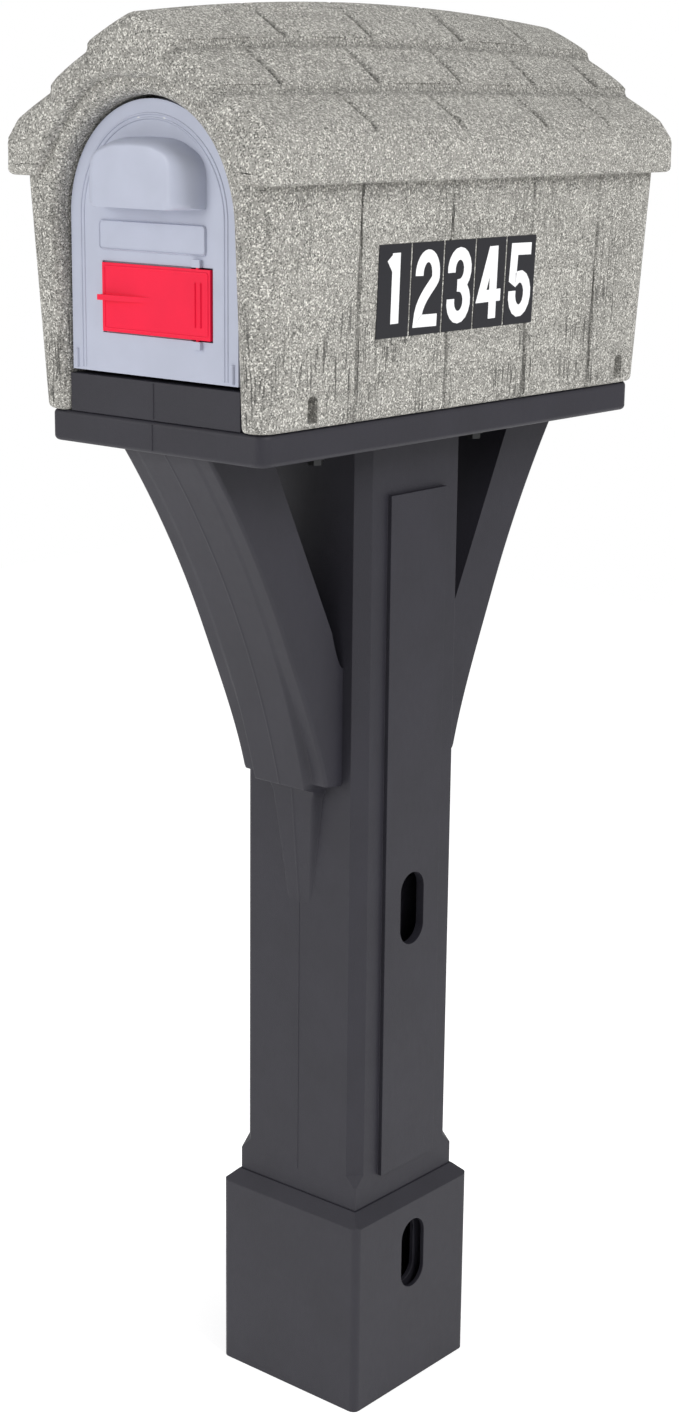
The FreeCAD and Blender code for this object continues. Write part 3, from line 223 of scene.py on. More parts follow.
class Paint:
    """A material whose node tree is being laid out."""

    def __init__(self, name):
        self.material = bpy.data.materials.new(name)
        self.material.use_nodes = True
        self.tree = self.material.node_tree
        self.tree.nodes.clear()
        self.output = self.tree.nodes.new("ShaderNodeOutputMaterial")

    def node(self, kind, settings=None, inputs=None):
        """One node: its settings first, then the values or links of its sockets."""
        made = self.tree.nodes.new(kind)
        for key, value in (settings or {}).items():
            setattr(made, key, value)
        for key, value in (inputs or {}).items():
            if isinstance(value, Number):
                value = value.socket
            if isinstance(value, bpy.types.NodeSocket):
                self.tree.links.new(value, made.inputs[key])
            else:
                made.inputs[key].default_value = value
        return made

    def place(self, stretch=(1.0, 1.0, 1.0)):
        """Object coordinates in metres, stretched."""
        where = self.node("ShaderNodeTexCoord").outputs["Object"]
        if stretch == (1.0, 1.0, 1.0):
            return where
        return self.node("ShaderNodeVectorMath", {"operation": "MULTIPLY"},
                         {0: where, 1: stretch}).outputs[0]

    def noise(self, grain, detail=2.0, rough=0.5, stretch=(1.0, 1.0, 1.0), drift=0.0):
        """Noise with features about grain millimetres across."""
        node = self.node("ShaderNodeTexNoise", {"noise_dimensions": "3D"},
                         {"Vector": self.place(stretch), "Scale": 1.0 / (grain * MM),
                          "Detail": detail, "Roughness": rough, "Distortion": drift})
        return Number(self, node.outputs["Fac"])

    def cells(self, grain):
        """Random number of each cell about grain millimetres across."""
        node = self.node("ShaderNodeTexVoronoi", {"feature": "F1"},
                         {"Vector": self.place(), "Scale": 1.0 / (grain * MM)})
        split = self.node("ShaderNodeSeparateColor", {}, {"Color": node.outputs["Color"]})
        return Number(self, split.outputs[0])

    def height(self):
        """Height above the ground in metres."""
        split = self.node("ShaderNodeSeparateXYZ", {}, {"Vector": self.place()})
        return Number(self, split.outputs["Z"])

    def mix(self, share, first, second):
        """Colour between first and second."""
        colours = {6: first, 7: second}
        for key, value in colours.items():
            if not isinstance(value, bpy.types.NodeSocket):
                colours[key] = (*value, 1.0)
        node = self.node("ShaderNodeMix", {"data_type": "RGBA"}, {0: share, **colours})
        return node.outputs[2]

    def bump(self, relief, depth, strength):
        """Normal of a relief whose full height is depth millimetres."""
        inputs = {"Height": relief, "Distance": depth * MM, "Strength": strength}
        return self.node("ShaderNodeBump", {}, inputs).outputs["Normal"]

    def named(self, attribute):
        """A number that the mesh holds at its points."""
        node = self.node("ShaderNodeAttribute", {"attribute_name": attribute})
        return Number(self, node.outputs["Fac"])

    def finish(self, **sockets):
        """Principled shader with these sockets, written with _ for a space."""
        inputs = {key.replace("_", " "): value for key, value in sockets.items()}
        shader = self.node("ShaderNodeBsdfPrincipled", {}, inputs)
        self.tree.links.new(shader.outputs[0], self.output.inputs[0])
        return self.material


def dimmed(colour, share):
    """The colour with each channel at this share."""
    return tuple(channel * share for channel in colour)


# Point attribute with dirt and painted shade in grooves and joints, and painted shade under the shingle
# butts and the eave.
DIRT_AND_SHADE = "recess"


def stone_plastic():
    """Granite-look plastic: cream and grey flecks, wood grain and splits, dirt and painted shade in the
    joints and grooves, painted shade under the shingle butts and the eave.
    """
    colours = finishes()
    paint = Paint("stone_plastic")
    fleck = paint.cells(1.35)
    fine = paint.cells(1.15)
    cloud = paint.noise(42.0, 3.0)
    grit = paint.noise(1.5, 3.0, 0.7)
    grain = paint.noise(9.0, 4.0, 0.6, stretch=(1.0, 1.0, 0.09), drift=0.6)
    streak = paint.noise(2.6, 2.0, 0.6, stretch=(1.0, 1.0, 0.035), drift=0.3)
    patch = paint.noise(55.0, 2.0, stretch=(1.0, 1.0, 0.8)).clear(0.44, 0.58)
    on_walls = 1 - paint.height().clear((EAVE - 6.0) * MM, (EAVE - 1.0) * MM)
    low_down = 1 - paint.height().clear((FOOT + 50.0) * MM, (FOOT + 190.0) * MM)
    split = (0.425 - streak).clear(0.0, 0.05) * patch * on_walls * (0.45 + low_down * 0.55)
    base = paint.mix(cloud.clear(0.3, 0.7), dimmed(colours.stone, 0.93), dimmed(colours.stone, 1.07))
    tone = paint.mix(fleck.clear(0.66, 0.88) * 0.78, base, tuple(colours.stone_light))
    tone = paint.mix(fine.clear(0.7, 0.91) * 0.88, tone, tuple(colours.stone_dark))
    hollow = (1 - grit.clear(0.4, 0.55)) * 0.34 + split * 0.68
    tone = paint.mix(hollow, tone, dimmed(colours.stone_dark, 0.8))
    # Dirt and painted shade: darker where the point attribute marks grooves, joints and the undersides of
    # overhangs.
    tone = paint.mix(paint.named(DIRT_AND_SHADE) * (0.35 + grit * 0.9), tone, dimmed(colours.stone_dark, 0.5))
    relief = grit * 0.5 + grain * 0.5 - split * 0.9
    return paint.finish(Base_Color=tone, Roughness=0.8, Specular_IOR_Level=0.3,
                        Normal=paint.bump(relief, 1.8, 0.8))


def charcoal_plastic():
    """Blow-moulded charcoal plastic with a fine pebble skin."""
    colours = finishes()
    paint = Paint("dark_plastic")
    pebble = paint.noise(1.1, 2.0, 0.5)
    cloud = paint.noise(60.0, 3.0)
    scuff = paint.noise(6.0, 4.0, 0.7, stretch=(1.0, 1.0, 0.5))
    tone = paint.mix(cloud.clear(0.3, 0.7), dimmed(colours.charcoal, 0.93),
                     dimmed(colours.charcoal, 1.08))
    rough = 0.5 + scuff * 0.12
    return paint.finish(Base_Color=tone, Roughness=rough, Specular_IOR_Level=0.4,
                        Normal=paint.bump(pebble, 0.35, 0.6))


def satin_plastic(name, colour, roughness, grain=0.9, depth=0.12, shine=0.5):
    """Injection-moulded plastic with an even, satin skin."""
    paint = Paint(name)
    skin = paint.noise(grain, 2.0, 0.5)
    cloud = paint.noise(35.0, 2.0)
    tone = paint.mix(cloud.clear(0.25, 0.75), dimmed(colour, 0.97), dimmed(colour, 1.03))
    return paint.finish(Base_Color=tone, Roughness=roughness + (skin - 0.5) * 0.08,
                        Specular_IOR_Level=shine, Normal=paint.bump(skin, depth, 0.5))


def plated_metal(name, colour, roughness):
    """Plated or turned metal with a faint, even drawing grain."""
    paint = Paint(name)
    grain = paint.noise(0.6, 3.0, 0.6, stretch=(1.0, 1.0, 6.0))
    cloud = paint.noise(5.0, 2.0)
    tone = paint.mix(cloud, dimmed(colour, 0.9), dimmed(colour, 1.06))
    return paint.finish(Base_Color=tone, Metallic=1.0, Roughness=roughness + grain * 0.15,
                        Normal=paint.bump(grain, 0.05, 0.4))


def floor_paint():
    """Matt pale stage floor."""
    paint = Paint("stage_floor")
    cloud = paint.noise(300.0, 2.0)
    colour = finishes().floor
    tone = paint.mix(cloud, dimmed(colour, 0.995), tuple(colour))
    return paint.finish(Base_Color=tone, Roughness=0.9, Specular_IOR_Level=0.1,
                        Emission_Color=WHITE, Emission_Strength=0.48)


MAKERS = {
    "stone_plastic": stone_plastic,
    "dark_plastic": charcoal_plastic,
    "door_plastic": lambda: satin_plastic("door_plastic", finishes().door, 0.42),
    "flag_plastic": lambda: satin_plastic("flag_plastic", finishes().flag, 0.4, shine=0.25),
    "number_vinyl": lambda: satin_plastic("number_vinyl", finishes().vinyl, 0.35, 0.5, 0.04),
    "numeral_vinyl": lambda: satin_plastic("numeral_vinyl", finishes().numeral, 0.4, 0.5, 0.04),
    "zinc_steel": lambda: plated_metal("zinc_steel", finishes().zinc, 0.32),
    "blackened_steel": lambda: plated_metal("blackened_steel", dimmed(finishes().zinc, 0.12), 0.45),
    "brass_insert": lambda: plated_metal("brass_insert", finishes().brass, 0.3),
    "magnet_black": lambda: satin_plastic("magnet_black", finishes().ferrite, 0.6, 0.4, 0.08),
}


def finish_of(slot):
    """The material of a slot, made once."""
    if slot not in bpy.data.materials:
        made = MAKERS[slot]()
        made.name = slot
    return bpy.data.materials[slot]


def clear_imported_materials():
    """Rename the frame's own materials, so that the slots' names are free."""
    for material in list(bpy.data.materials):
        material.name = f"frame_{material.name}"


# ---------------------------------------------------------------- meshes

def mesh_object(name, points, faces, recess=None):
    """An object from points in millimetres, with an optional value at each point for the dirt and painted
    shade it gets in grooves and under overhangs.
    """
    mesh = bpy.data.meshes.new(name)
    mesh.from_pydata([tuple(value * MM for value in point) for point in points], [], faces)
    if recess:
        mesh.attributes.new(DIRT_AND_SHADE, "FLOAT", "POINT").data.foreach_set("value", recess)
    mesh.validate()
    made = bpy.data.objects.new(name, mesh)
    bpy.context.scene.collection.objects.link(made)
    return made


def grid_faces(rows, columns, wrap_rows=False, wrap_columns=False, first=0):
    """Quads of a grid of points stored row after row."""
    faces = []
    for row in range(rows if wrap_rows else rows - 1):
        for column in range(columns if wrap_columns else columns - 1):
            here = first + row * columns
            above = first + (row + 1) % rows * columns
            right = (column + 1) % columns
            faces.append((here + column, here + right, above + right, above + column))
    return faces


def end_faces(count, last, first=0):
    """The faces that close a run of sections of count points, from point first up to last."""
    return [tuple(range(first, first + count)), tuple(range(last - count, last))]


@contextmanager
def edited(mesh):
    """A mesh opened for editing, and written back."""
    work = bmesh.new()
    work.from_mesh(mesh)
    yield work
    work.to_mesh(mesh)
    work.free()


def face_outwards(piece):
    """Normals pointing out of a closed piece."""
    with edited(piece.data) as work:
        bmesh.ops.recalc_face_normals(work, faces=work.faces)


def smooth(piece, sharp, flatten=False):
    """Smooth shading that breaks at edges sharper than the angle, with flat faces kept flat."""
    piece.data.shade_smooth()
    piece.data.set_sharp_from_angle(angle=math.radians(sharp))
    if flatten:
        applied(piece, "WEIGHTED_NORMAL", weight=70, keep_sharp=True)


def applied(piece, kind, **settings):
    """A modifier with these settings, applied to the mesh."""
    modifier = piece.modifiers.new(kind.lower(), kind)
    for key, value in settings.items():
        setattr(modifier, key, value)
    shaped = bpy.data.meshes.new_from_object(
        piece.evaluated_get(bpy.context.evaluated_depsgraph_get()))
    piece.modifiers.clear()
    piece.data = shaped
    shaped.name = piece.name


def closed_piece(name, points, faces, sharp, flatten=False, recess=None):
    """A closed, smoothly shaded piece from points in millimetres."""
    piece = mesh_object(name, points, faces, recess)
    face_outwards(piece)
    smooth(piece, sharp, flatten)
    return piece


def settle(piece, slot, body="root", nodes=(), finish=None):
    """Material, body and CAD nodes of a finished piece."""
    piece.data.materials.clear()
    piece.data.materials.append(finish_of(finish or slot))
    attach(piece, body)
    if nodes:
        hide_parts(*nodes)
    return piece


def softened(node, name, rounding, steps, prepare=None):
    """Copy of a CAD solid with its sharp edges rounded, as a moulding has them."""
    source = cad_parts[node]
    mesh = source.data.copy()
    mesh.name = name
    made = bpy.data.objects.new(name, mesh)
    bpy.context.scene.collection.objects.link(made)
    with edited(mesh) as work:
        bmesh.ops.remove_doubles(work, verts=work.verts, dist=0.02 * MM)
        bmesh.ops.dissolve_limit(work, angle_limit=math.radians(2.0), verts=work.verts,
                                 edges=work.edges)
        if prepare:
            prepare(work)
        round_edges(work, rounding, steps)
        bmesh.ops.recalc_face_normals(work, faces=work.faces)
    smooth(made, 40.0, flatten=True)
    return made


def round_edges(work, radius, steps):
    """Bevel the edges sharper than 24 degrees."""
    limit = math.radians(24.0)
    edges = [edge for edge in work.edges
             if len(edge.link_faces) == 2 and edge.calc_face_angle(0.0) > limit]
    bmesh.ops.bevel(work, geom=edges, offset=radius * MM, offset_type="OFFSET", segments=steps,
                    profile=0.5, affect="EDGES", clamp_overlap=True, miter_outer="ARC")


# ---------------------------------------------------------------- outlines

def rounded_line(corners, steps=4):
    """Polyline through (x, z, radius) corners, each rounded by its radius."""
    line = []
    last = len(corners) - 1
    for number, (x, z, radius) in enumerate(corners):
        here = Vector((x, z))
        if number in (0, last) or radius <= 0:
            line.append(here)
            continue
        before = Vector(corners[number - 1][:2]) - here
        after = Vector(corners[number + 1][:2]) - here
        angle = before.angle(after)
        reach = min(radius / math.tan(angle / 2), before.length * 0.48, after.length * 0.48)
        start = here + before.normalized() * reach
        end = here + after.normalized() * reach
        for step in range(steps + 1):
            share = step / steps
            line.append(start * (1 - share) ** 2 + here * 2 * share * (1 - share)
                        + end * share ** 2)
    return line


def mirrored(places):
    """The places in reverse order, each with its first coordinate negated."""
    return [(-place[0], *place[1:]) for place in reversed(places)]


def divided(line, longest):
    """The polyline with its long runs divided."""
    made = [line[0]]
    for start, end in zip(line, line[1:]):
        parts = max(1, math.ceil((end - start).length / longest))
        made += [start.lerp(end, part / parts) for part in range(1, parts + 1)]
    return made


def normals_of(line):
    """Unit normal at each point of a polyline, to the right of its direction."""
    normals = []
    for number, _ in enumerate(line):
        before = line[max(number - 1, 0)]
        after = line[min(number + 1, len(line) - 1)]
        run = (after - before).normalized()
        normals.append(Vector((run.y, -run.x)))
    return normals


def upward_normals(line):
    """Unit normals of an arched polyline, pointing up at its middle."""
    normals = normals_of(line)
    if normals[len(normals) // 2].y > 0:
        return normals
    return [-normal for normal in normals]


def eased_normals(line, normals, reach):
    """Normals averaged over the outline within reach, so that an inset never folds."""
    eased = []
    for place in line:
        total = Vector((0.0, 0.0))
        for other, normal in zip(line, normals):
            near = 1 - (other - place).length / reach
            if near > 0:
                total += normal * near
        eased.append(total.normalized())
    return eased


def shares_of(line):
    """Share of the polyline's length at each point."""
    total = [0.0]
    for start, end in zip(line, line[1:]):
        total.append(total[-1] + (end - start).length)
    return [value / total[-1] for value in total]


def bezier(points, share):
    """Point of a cubic curve."""
    first, second, third, fourth = (Vector(point) for point in points)
    rest = 1 - share
    return (first * rest ** 3 + second * 3 * rest ** 2 * share
            + third * 3 * rest * share ** 2 + fourth * share ** 3)


def eased(low, high, value):
    """0 at low, 1 at high, smooth between."""
    share = min(1.0, max(0.0, (value - low) / (high - low)))
    return share * share * (3 - 2 * share)


def around(places, offsets, low, high, longest):
    """Sorted stations from low to high, closer together around each place."""
    values = {low, high}
    count = math.ceil((high - low) / longest)
    values |= {low + (high - low) * step / count for step in range(count + 1)}
    values |= {place + offset for place in places for offset in offsets}
    ordered = sorted(value for value in values if low <= value <= high)
    kept = [ordered[0]]
    for value in ordered[1:]:
        if value - kept[-1] > 0.25:
            kept.append(value)
    return kept


# ---------------------------------------------------------------- roof

LOW_COURSE = (-158.0, -30.0, 104.0, 210.0)
MIDDLE_COURSE = (-228.0, -92.0, 32.0, 150.0, 258.0)
TOP_COURSE = (-168.0, -45.0, 95.0, 206.0)
LOW_BUTT = 103.0
HIGH_BUTT = 54.5
FASCIA = ((127.0, EAVE), (88.0, EAVE + 50.0), (66.0, EAVE + 98.0), (0.0, EAVE + 88.0))
JOINT_STATIONS = (-7.0, -4.6, -3.2, -2.2, -1.1, 0.0, 1.1, 2.2, 3.2, 4.6, 7.0)


def roof_corners():
    """Right half of the roof's cross-section, from under the eave to the ridge."""
    side = ROOF_SIDE
    return ((side - 19.0, EAVE, 0.0), (side, EAVE, 5.0), (side, EAVE + 32.0, 9.0),
            (side - 16.0, EAVE + 51.0, 13.0), (LOW_BUTT + 3.0, EAVE + 75.5, 1.6),
            (LOW_BUTT, EAVE + 83.0, 3.0), (LOW_BUTT - 6.0, EAVE + 88.0, 9.0),
            (HIGH_BUTT + 3.0, EAVE + 111.5, 1.6), (HIGH_BUTT, EAVE + 119.0, 3.0),
            (HIGH_BUTT - 6.0, EAVE + 123.0, 9.0), (0.0, EAVE + 145.5, 20.0))


def roof_outline():
    """Roof cross-section from the right eave over the ridge to the left eave."""
    half = list(roof_corners())
    return divided(rounded_line(half + mirrored(half[:-1])), 7.0)


def fascia_outline(shares):
    """Inner edge of the roof's end face, with a point for each share."""
    left = mirrored(FASCIA)
    return [bezier(FASCIA, share * 2) if share <= 0.5 else bezier(left, share * 2 - 1)
            for share in shares]


def course_of(side, height):
    """Joints of the shingle course at this place, and where it is within the course, 0 to 1."""
    if side < HIGH_BUTT:
        return TOP_COURSE, side / HIGH_BUTT
    if side < LOW_BUTT:
        return MIDDLE_COURSE, (side - HIGH_BUTT) / (LOW_BUTT - HIGH_BUTT)
    if height > EAVE + 34.0:
        return LOW_COURSE, (side - LOW_BUTT) / (ROOF_SIDE - LOW_BUTT)
    return (), 0.0


def shingle_relief(side, height, along):
    """How far the roof's skin stands out at this place, in mm."""
    joints, share = course_of(side, height)
    if not joints:
        return 0.0
    sizes = housing_sizes()
    swell = sizes.shingle_swell * math.sin(math.pi * share)
    depth = sizes.shingle_groove * (0.25 + 0.75 * share)
    width = 1.7 + 1.5 * share
    if joints is LOW_COURSE:
        fade = min(1.0, max(0.0, (height - EAVE - 42.0) / 12.0))
        depth = sizes.shingle_groove * fade * (0.25 + 1.1 * min(1.0, share / 0.7))
    nearest = min(abs(along - joint) for joint in joints)
    number = sum(along > joint for joint in joints)
    uneven = 0.7 * math.sin(2.3 * number + 1.7 * len(joints)) * share
    droop = 0.9 * share ** 3 * min(1.0, nearest / 45.0)
    return swell + uneven * min(1.0, nearest / 5.0) + droop - depth * math.exp(-(nearest / width) ** 2)


def joint_dirt_and_shade(side, height, along):
    """Dirt and painted shade at this place, 0 to 1: in a shingle joint, and painted shade under a
    shingle's lower edge.
    """
    joints, share = course_of(side, height)
    if not joints:
        return 0.0
    fade = eased(EAVE + 42.0, EAVE + 54.0, height) if joints is LOW_COURSE else 1.0
    nearest = min(abs(along - joint) for joint in joints)
    in_joint = fade * (0.2 + 0.8 * min(1.0, share * 1.5)) * math.exp(-(nearest / 2.9) ** 2)
    # Painted shade under the lower edge of each shingle course.
    under_butt = max(math.exp(-((side - butt - 3.2) / 2.8) ** 2) for butt in (LOW_BUTT, HIGH_BUTT))
    return max(in_joint, 0.42 * under_butt)


def butt_slide(side, along):
    """How far a shingle's lower edge slides down the slope at this place, in mm."""
    slide = 0.0
    for butt, joints in ((LOW_BUTT, MIDDLE_COURSE), (HIGH_BUTT, TOP_COURSE)):
        near = math.exp(-((side - butt) / 4.5) ** 2)
        nearest = min(abs(along - joint) for joint in joints)
        number = sum(along > joint for joint in joints)
        uneven = 0.8 * math.sin(1.9 * number + butt) * min(1.0, nearest / 6.0)
        slide += near * (uneven - 2.4 * math.exp(-(nearest / 4.5) ** 2))
    return slide


def crown_lift(side, along):
    """Rise of the roof between its gables."""
    low = max(0.0, 1 - abs(side) / ROOF_SIDE)
    return housing_sizes().crown * (1 - (along / ROOF_END) ** 2) * low ** 1.8


def roof_stations():
    """Places along the roof and how far its ends are rounded in there."""
    joints = sorted({*LOW_COURSE, *MIDDLE_COURSE, *TOP_COURSE})
    radius = housing_sizes().fascia_round
    inner = around(joints, JOINT_STATIONS, -ROOF_END + radius, ROOF_END - radius, 16.0)
    turn = [math.radians(angle) for angle in (0, 15, 30, 45, 60, 75)]
    front = [(-ROOF_END + radius * (1 - math.cos(angle)), 1 - math.sin(angle)) for angle in turn]
    rear = [(-along, share) for along, share in reversed(front)]
    return front + [(along, 0.0) for along in inner] + rear


def build_roof():
    """Roof with its shingle courses, rounded eaves and gable fascias."""
    outer = roof_outline()
    outward = upward_normals(outer)
    inner = fascia_outline(shares_of(outer))
    inner_out = upward_normals(inner)
    radius = housing_sizes().fascia_round
    inset = eased_normals(outer, outward, 2.5 * radius)
    count = len(outer)
    points = []
    recess = []
    for along, rounding in roof_stations():
        # Dirt and painted shade in the shingle joints and under the butts; none on the fascia ring.
        recess += [joint_dirt_and_shade(abs(place.x), place.y, along) for place in outer] + [0.0] * count
        for place, normal, inward in zip(outer, outward, inset):
            spot = place + normal * shingle_relief(abs(place.x), place.y, along)
            spot -= inward * radius * rounding
            slide = butt_slide(abs(place.x), along)
            spot += Vector((math.copysign(slide, place.x), -0.6 * slide))
            points.append((spot.x, along, spot.y + crown_lift(spot.x, along)))
        ring = []
        end_height = points[-1][2]
        for place, normal in zip(inner, inner_out):
            spot = place + normal * (0.45 * radius * rounding)
            ring.append((spot.x, along, max(spot.y, end_height)))
        points += reversed(ring)
    rows = len(points) // (2 * count)
    faces = grid_faces(rows, 2 * count, wrap_columns=True)
    for start in (0, (rows - 1) * 2 * count):
        for number in range(count - 1):
            other = start + 2 * count - 1 - number
            faces.append((start + number, start + number + 1, other - 1, other))
    return closed_piece("roof", points, faces, 32.0, recess=recess)


# ---------------------------------------------------------------- walls

PLANKS = (-170.0, -37.0, 90.0, 203.0)
REAR_PLANKS = (-75.0, 5.0, 78.0)
NOTCHES = (-229.0, 258.0)
NOTCH_SIDE = 130.5
NOTCH_HALF = 6.5
NOTCH_LOW = FOOT + 6.0
NOTCH_TALL = 17.5
NOTCH_STATIONS = (-6.9, -6.55, -6.3, -5.2, -3.6, -2.7, -1.8, -0.9, 0.0,
                  0.9, 1.8, 2.7, 3.6, 5.2, 6.3, 6.55, 6.9)
GROOVE_STATIONS = (-3.2, -2.6, -1.8, -0.9, 0.0, 0.9, 1.8, 2.6, 3.2)
ARCH_STEPS = 48
# Front, rear, low and high edge of the recess behind the numbers, and its depth.
NUMBER_RECESS = (-150.0, 180.0, 68.0, 161.0, 1.5)


def lean_share(height):
    """Share of the walls' lean at a height, 0 at the foot and 1 at the eave."""
    return min(1.0, (height - FOOT) / WALL_TALL)


def foot_inset(height):
    """How far the foot's rounding pulls the wall in."""
    radius = housing_sizes().foot_round
    rest = radius - (height - FOOT)
    return radius - math.sqrt(radius ** 2 - rest ** 2) if rest > 0 else 0.0


def wall_half(height):
    """Half width and half length of the walls at a height."""
    sizes = housing_sizes()
    share = lean_share(height)
    inset = foot_inset(height)
    return WALL_SIDE + sizes.lean_side * share - inset, WALL_END + sizes.lean_end * share - inset


def wall_rows(top):
    """Heights of the wall's rows, closer together where it has an edge."""
    edges = [FOOT + value for value in (0.0, 1.0, 2.6, 5.0)]
    edges += [FOOT + value for value in (5.6, 6.4, 23.5, 26.0, 28.0, 29.2, 29.9, 30.3)]
    edges += [FOOT + value + offset for value in NUMBER_RECESS[2:4] for offset in (-1.2, 1.2)]
    edges += [FOOT + 20.0 * step for step in range(1, 12)]
    return sorted(value for value in edges if value <= top - 2.0) + [top]


def groove(distance, depth, half=2.6):
    """Depth of a soft V groove at this distance from its middle."""
    return depth * max(0.0, 1 - (distance / half) ** 2) ** 1.5


def plank_wander(plank, height):
    """How far a plank groove strays sideways at a height, in mm."""
    return 1.1 * math.sin(height / 37.0 + plank) + 0.6 * math.sin(height / 13.0 + 2 * plank)


def side_depth(along, height):
    """How far the side wall's skin sinks in at this place, in mm."""
    sizes = housing_sizes()
    depth = max(groove(abs(along - plank), sizes.plank_groove) for plank in PLANKS)
    front, rear, low, high, deep = NUMBER_RECESS
    inside = min(along - front, rear - along, height - FOOT - low, FOOT + high - height)
    depth += deep * min(1.0, max(0.0, (inside + 1.2) / 2.4))
    return depth


def side_reach(along, height):
    """How far the side wall's skin stands from the middle, in its plank grooves and notches too."""
    for notch in NOTCHES:
        offset = abs(along - notch)
        if offset < NOTCH_HALF:
            bulge = math.sqrt(NOTCH_HALF ** 2 - offset ** 2)
            if NOTCH_LOW < height < NOTCH_LOW + NOTCH_TALL + bulge:
                return NOTCH_SIDE - bulge
    return wall_half(height)[0] - side_depth(along, height)


def wall_ring(height):
    """Points round the walls at a height, from the front right corner to the front left."""
    sizes = housing_sizes()
    half_wide, half_long = wall_half(height)
    radius = sizes.corner
    turns = [math.radians(angle) for angle in (0, 18, 36, 54, 72, 90)]
    flat = WALL_END - radius
    stations = set(around(NOTCHES, NOTCH_STATIONS, -flat, flat, 18.0))
    stations |= set(around(PLANKS, GROOVE_STATIONS, -flat, flat, 1000.0))
    stations |= {edge + offset for edge in NUMBER_RECESS[:2] for offset in (-1.2, 1.2)}
    scale = (half_long - radius) / flat
    across = WALL_SIDE - radius
    right = [(side_reach(along, height), along * scale if abs(along) > 280 else along)
             for along in sorted(stations)]
    front_right = [(half_wide - radius * (1 - math.sin(turn)), -half_long + radius * (1 - math.cos(turn)))
                   for turn in turns]
    rear_right = [(x, -y) for x, y in reversed(front_right)]
    rear = []
    for x in reversed(around(REAR_PLANKS, GROOVE_STATIONS, -across, across, 20.0)):
        sunk = max(groove(abs(x - plank), sizes.plank_groove) for plank in REAR_PLANKS)
        rear.append((x * (half_wide - radius) / across, half_long - sunk))
    half_ring = front_right + right[1:-1] + rear_right
    return half_ring + rear[1:-1] + mirrored(half_ring)


def wall_grid():
    """Points and columns of the plank walls round both sides and the rear."""
    heights = wall_rows(EAVE + 8.0)
    heights = sorted({*heights, SPRING, *(edge.y for edge in leg_hits())})
    points = []
    recess = []
    columns = 0
    for height in heights:
        ring = wall_ring(height)
        columns = len(ring)
        for x, y in ring:
            planks = REAR_PLANKS if y > WALL_END - 20.0 and abs(x) < WALL_SIDE - 20.0 else PLANKS
            along = x if planks is REAR_PLANKS else y
            nearest = min(abs(along - plank) for plank in planks)
            # Dirt and painted shade in the plank grooves.
            depth = math.exp(-(nearest / 1.9) ** 2) if -y < WALL_END - 20.0 else 0.0
            recess.append(depth * (0.75 + 0.25 * math.sin(height / 11.0 + along)))
            stray = plank_wander(along, height) * max(0.0, 1 - nearest / 9.0)
            straying = (x + stray, y) if planks is REAR_PLANKS else (x, y + stray)
            points.append((*straying, height))
    return points, recess, len(heights), columns


def front_plane(height):
    """Y of the front wall's face at a height."""
    return -wall_half(height)[1]


def boundary_hit(direction, boundary):
    """Where a ray from the arch's centre meets a boundary polyline."""
    centre = Vector((0.0, SPRING))
    for start, end in zip(boundary, boundary[1:]):
        run = end - start
        cross = direction.x * run.y - direction.y * run.x
        if abs(cross) < 1e-9:
            continue
        offset = start - centre
        reach = (offset.x * run.y - offset.y * run.x) / cross
        share = (offset.x * direction.y - offset.y * direction.x) / cross
        if reach > 0 and -1e-6 <= share <= 1 + 1e-6:
            return centre + direction * reach
    raise RuntimeError("the front wall has no edge in that direction")


def surround_boundary():
    """Outer edge of the front wall, hidden behind the fascia above the eave."""
    radius = housing_sizes().corner
    legs = [Vector((wall_half(height)[0] - radius, height)) for height in (SPRING - 60.0, EAVE)]
    shares = [step / 24 for step in range(25)]
    curve = fascia_outline(shares)
    lifted = []
    for place, normal in zip(curve, normals_of(curve)):
        outward = normal if normal.dot(place - Vector((0.0, SPRING))) > 0 else -normal
        lifted.append(place + outward * 9.0)
    return legs + lifted[1:-1] + [Vector((-leg.x, leg.y)) for leg in reversed(legs)]


def opening_path():
    """Opening outline from the right foot over the arch to the left foot, with its edge points."""
    radius = housing_sizes().corner
    rows = wall_rows(SPRING)
    right = []
    for height in rows:
        right.append((Vector((OPENING_HALF, height)), Vector((1.0, 0.0)),
                      Vector((wall_half(height)[0] - radius, height))))
    boundary = surround_boundary()
    arch = []
    for step in range(1, ARCH_STEPS):
        angle = math.pi * step / ARCH_STEPS
        direction = Vector((math.cos(angle), math.sin(angle)))
        inner = Vector((0.0, SPRING)) + direction * OPENING_HALF
        arch.append((inner, direction, boundary_hit(direction, boundary)))
    left = [(Vector((-inner.x, inner.y)), Vector((-1.0, 0.0)), Vector((-edge.x, edge.y)))
            for inner, _, edge in reversed(right)]
    return right + arch + left


def leg_hits():
    """Edge points of the arch's rays that end on the corner beside the opening."""
    boundary = surround_boundary()
    hits = []
    for step in range(1, ARCH_STEPS):
        angle = math.pi * step / ARCH_STEPS
        edge = boundary_hit(Vector((math.cos(angle), math.sin(angle))), boundary)
        if edge.x > 0 and edge.y < EAVE - 1.0:
            hits.append(edge)
    return hits


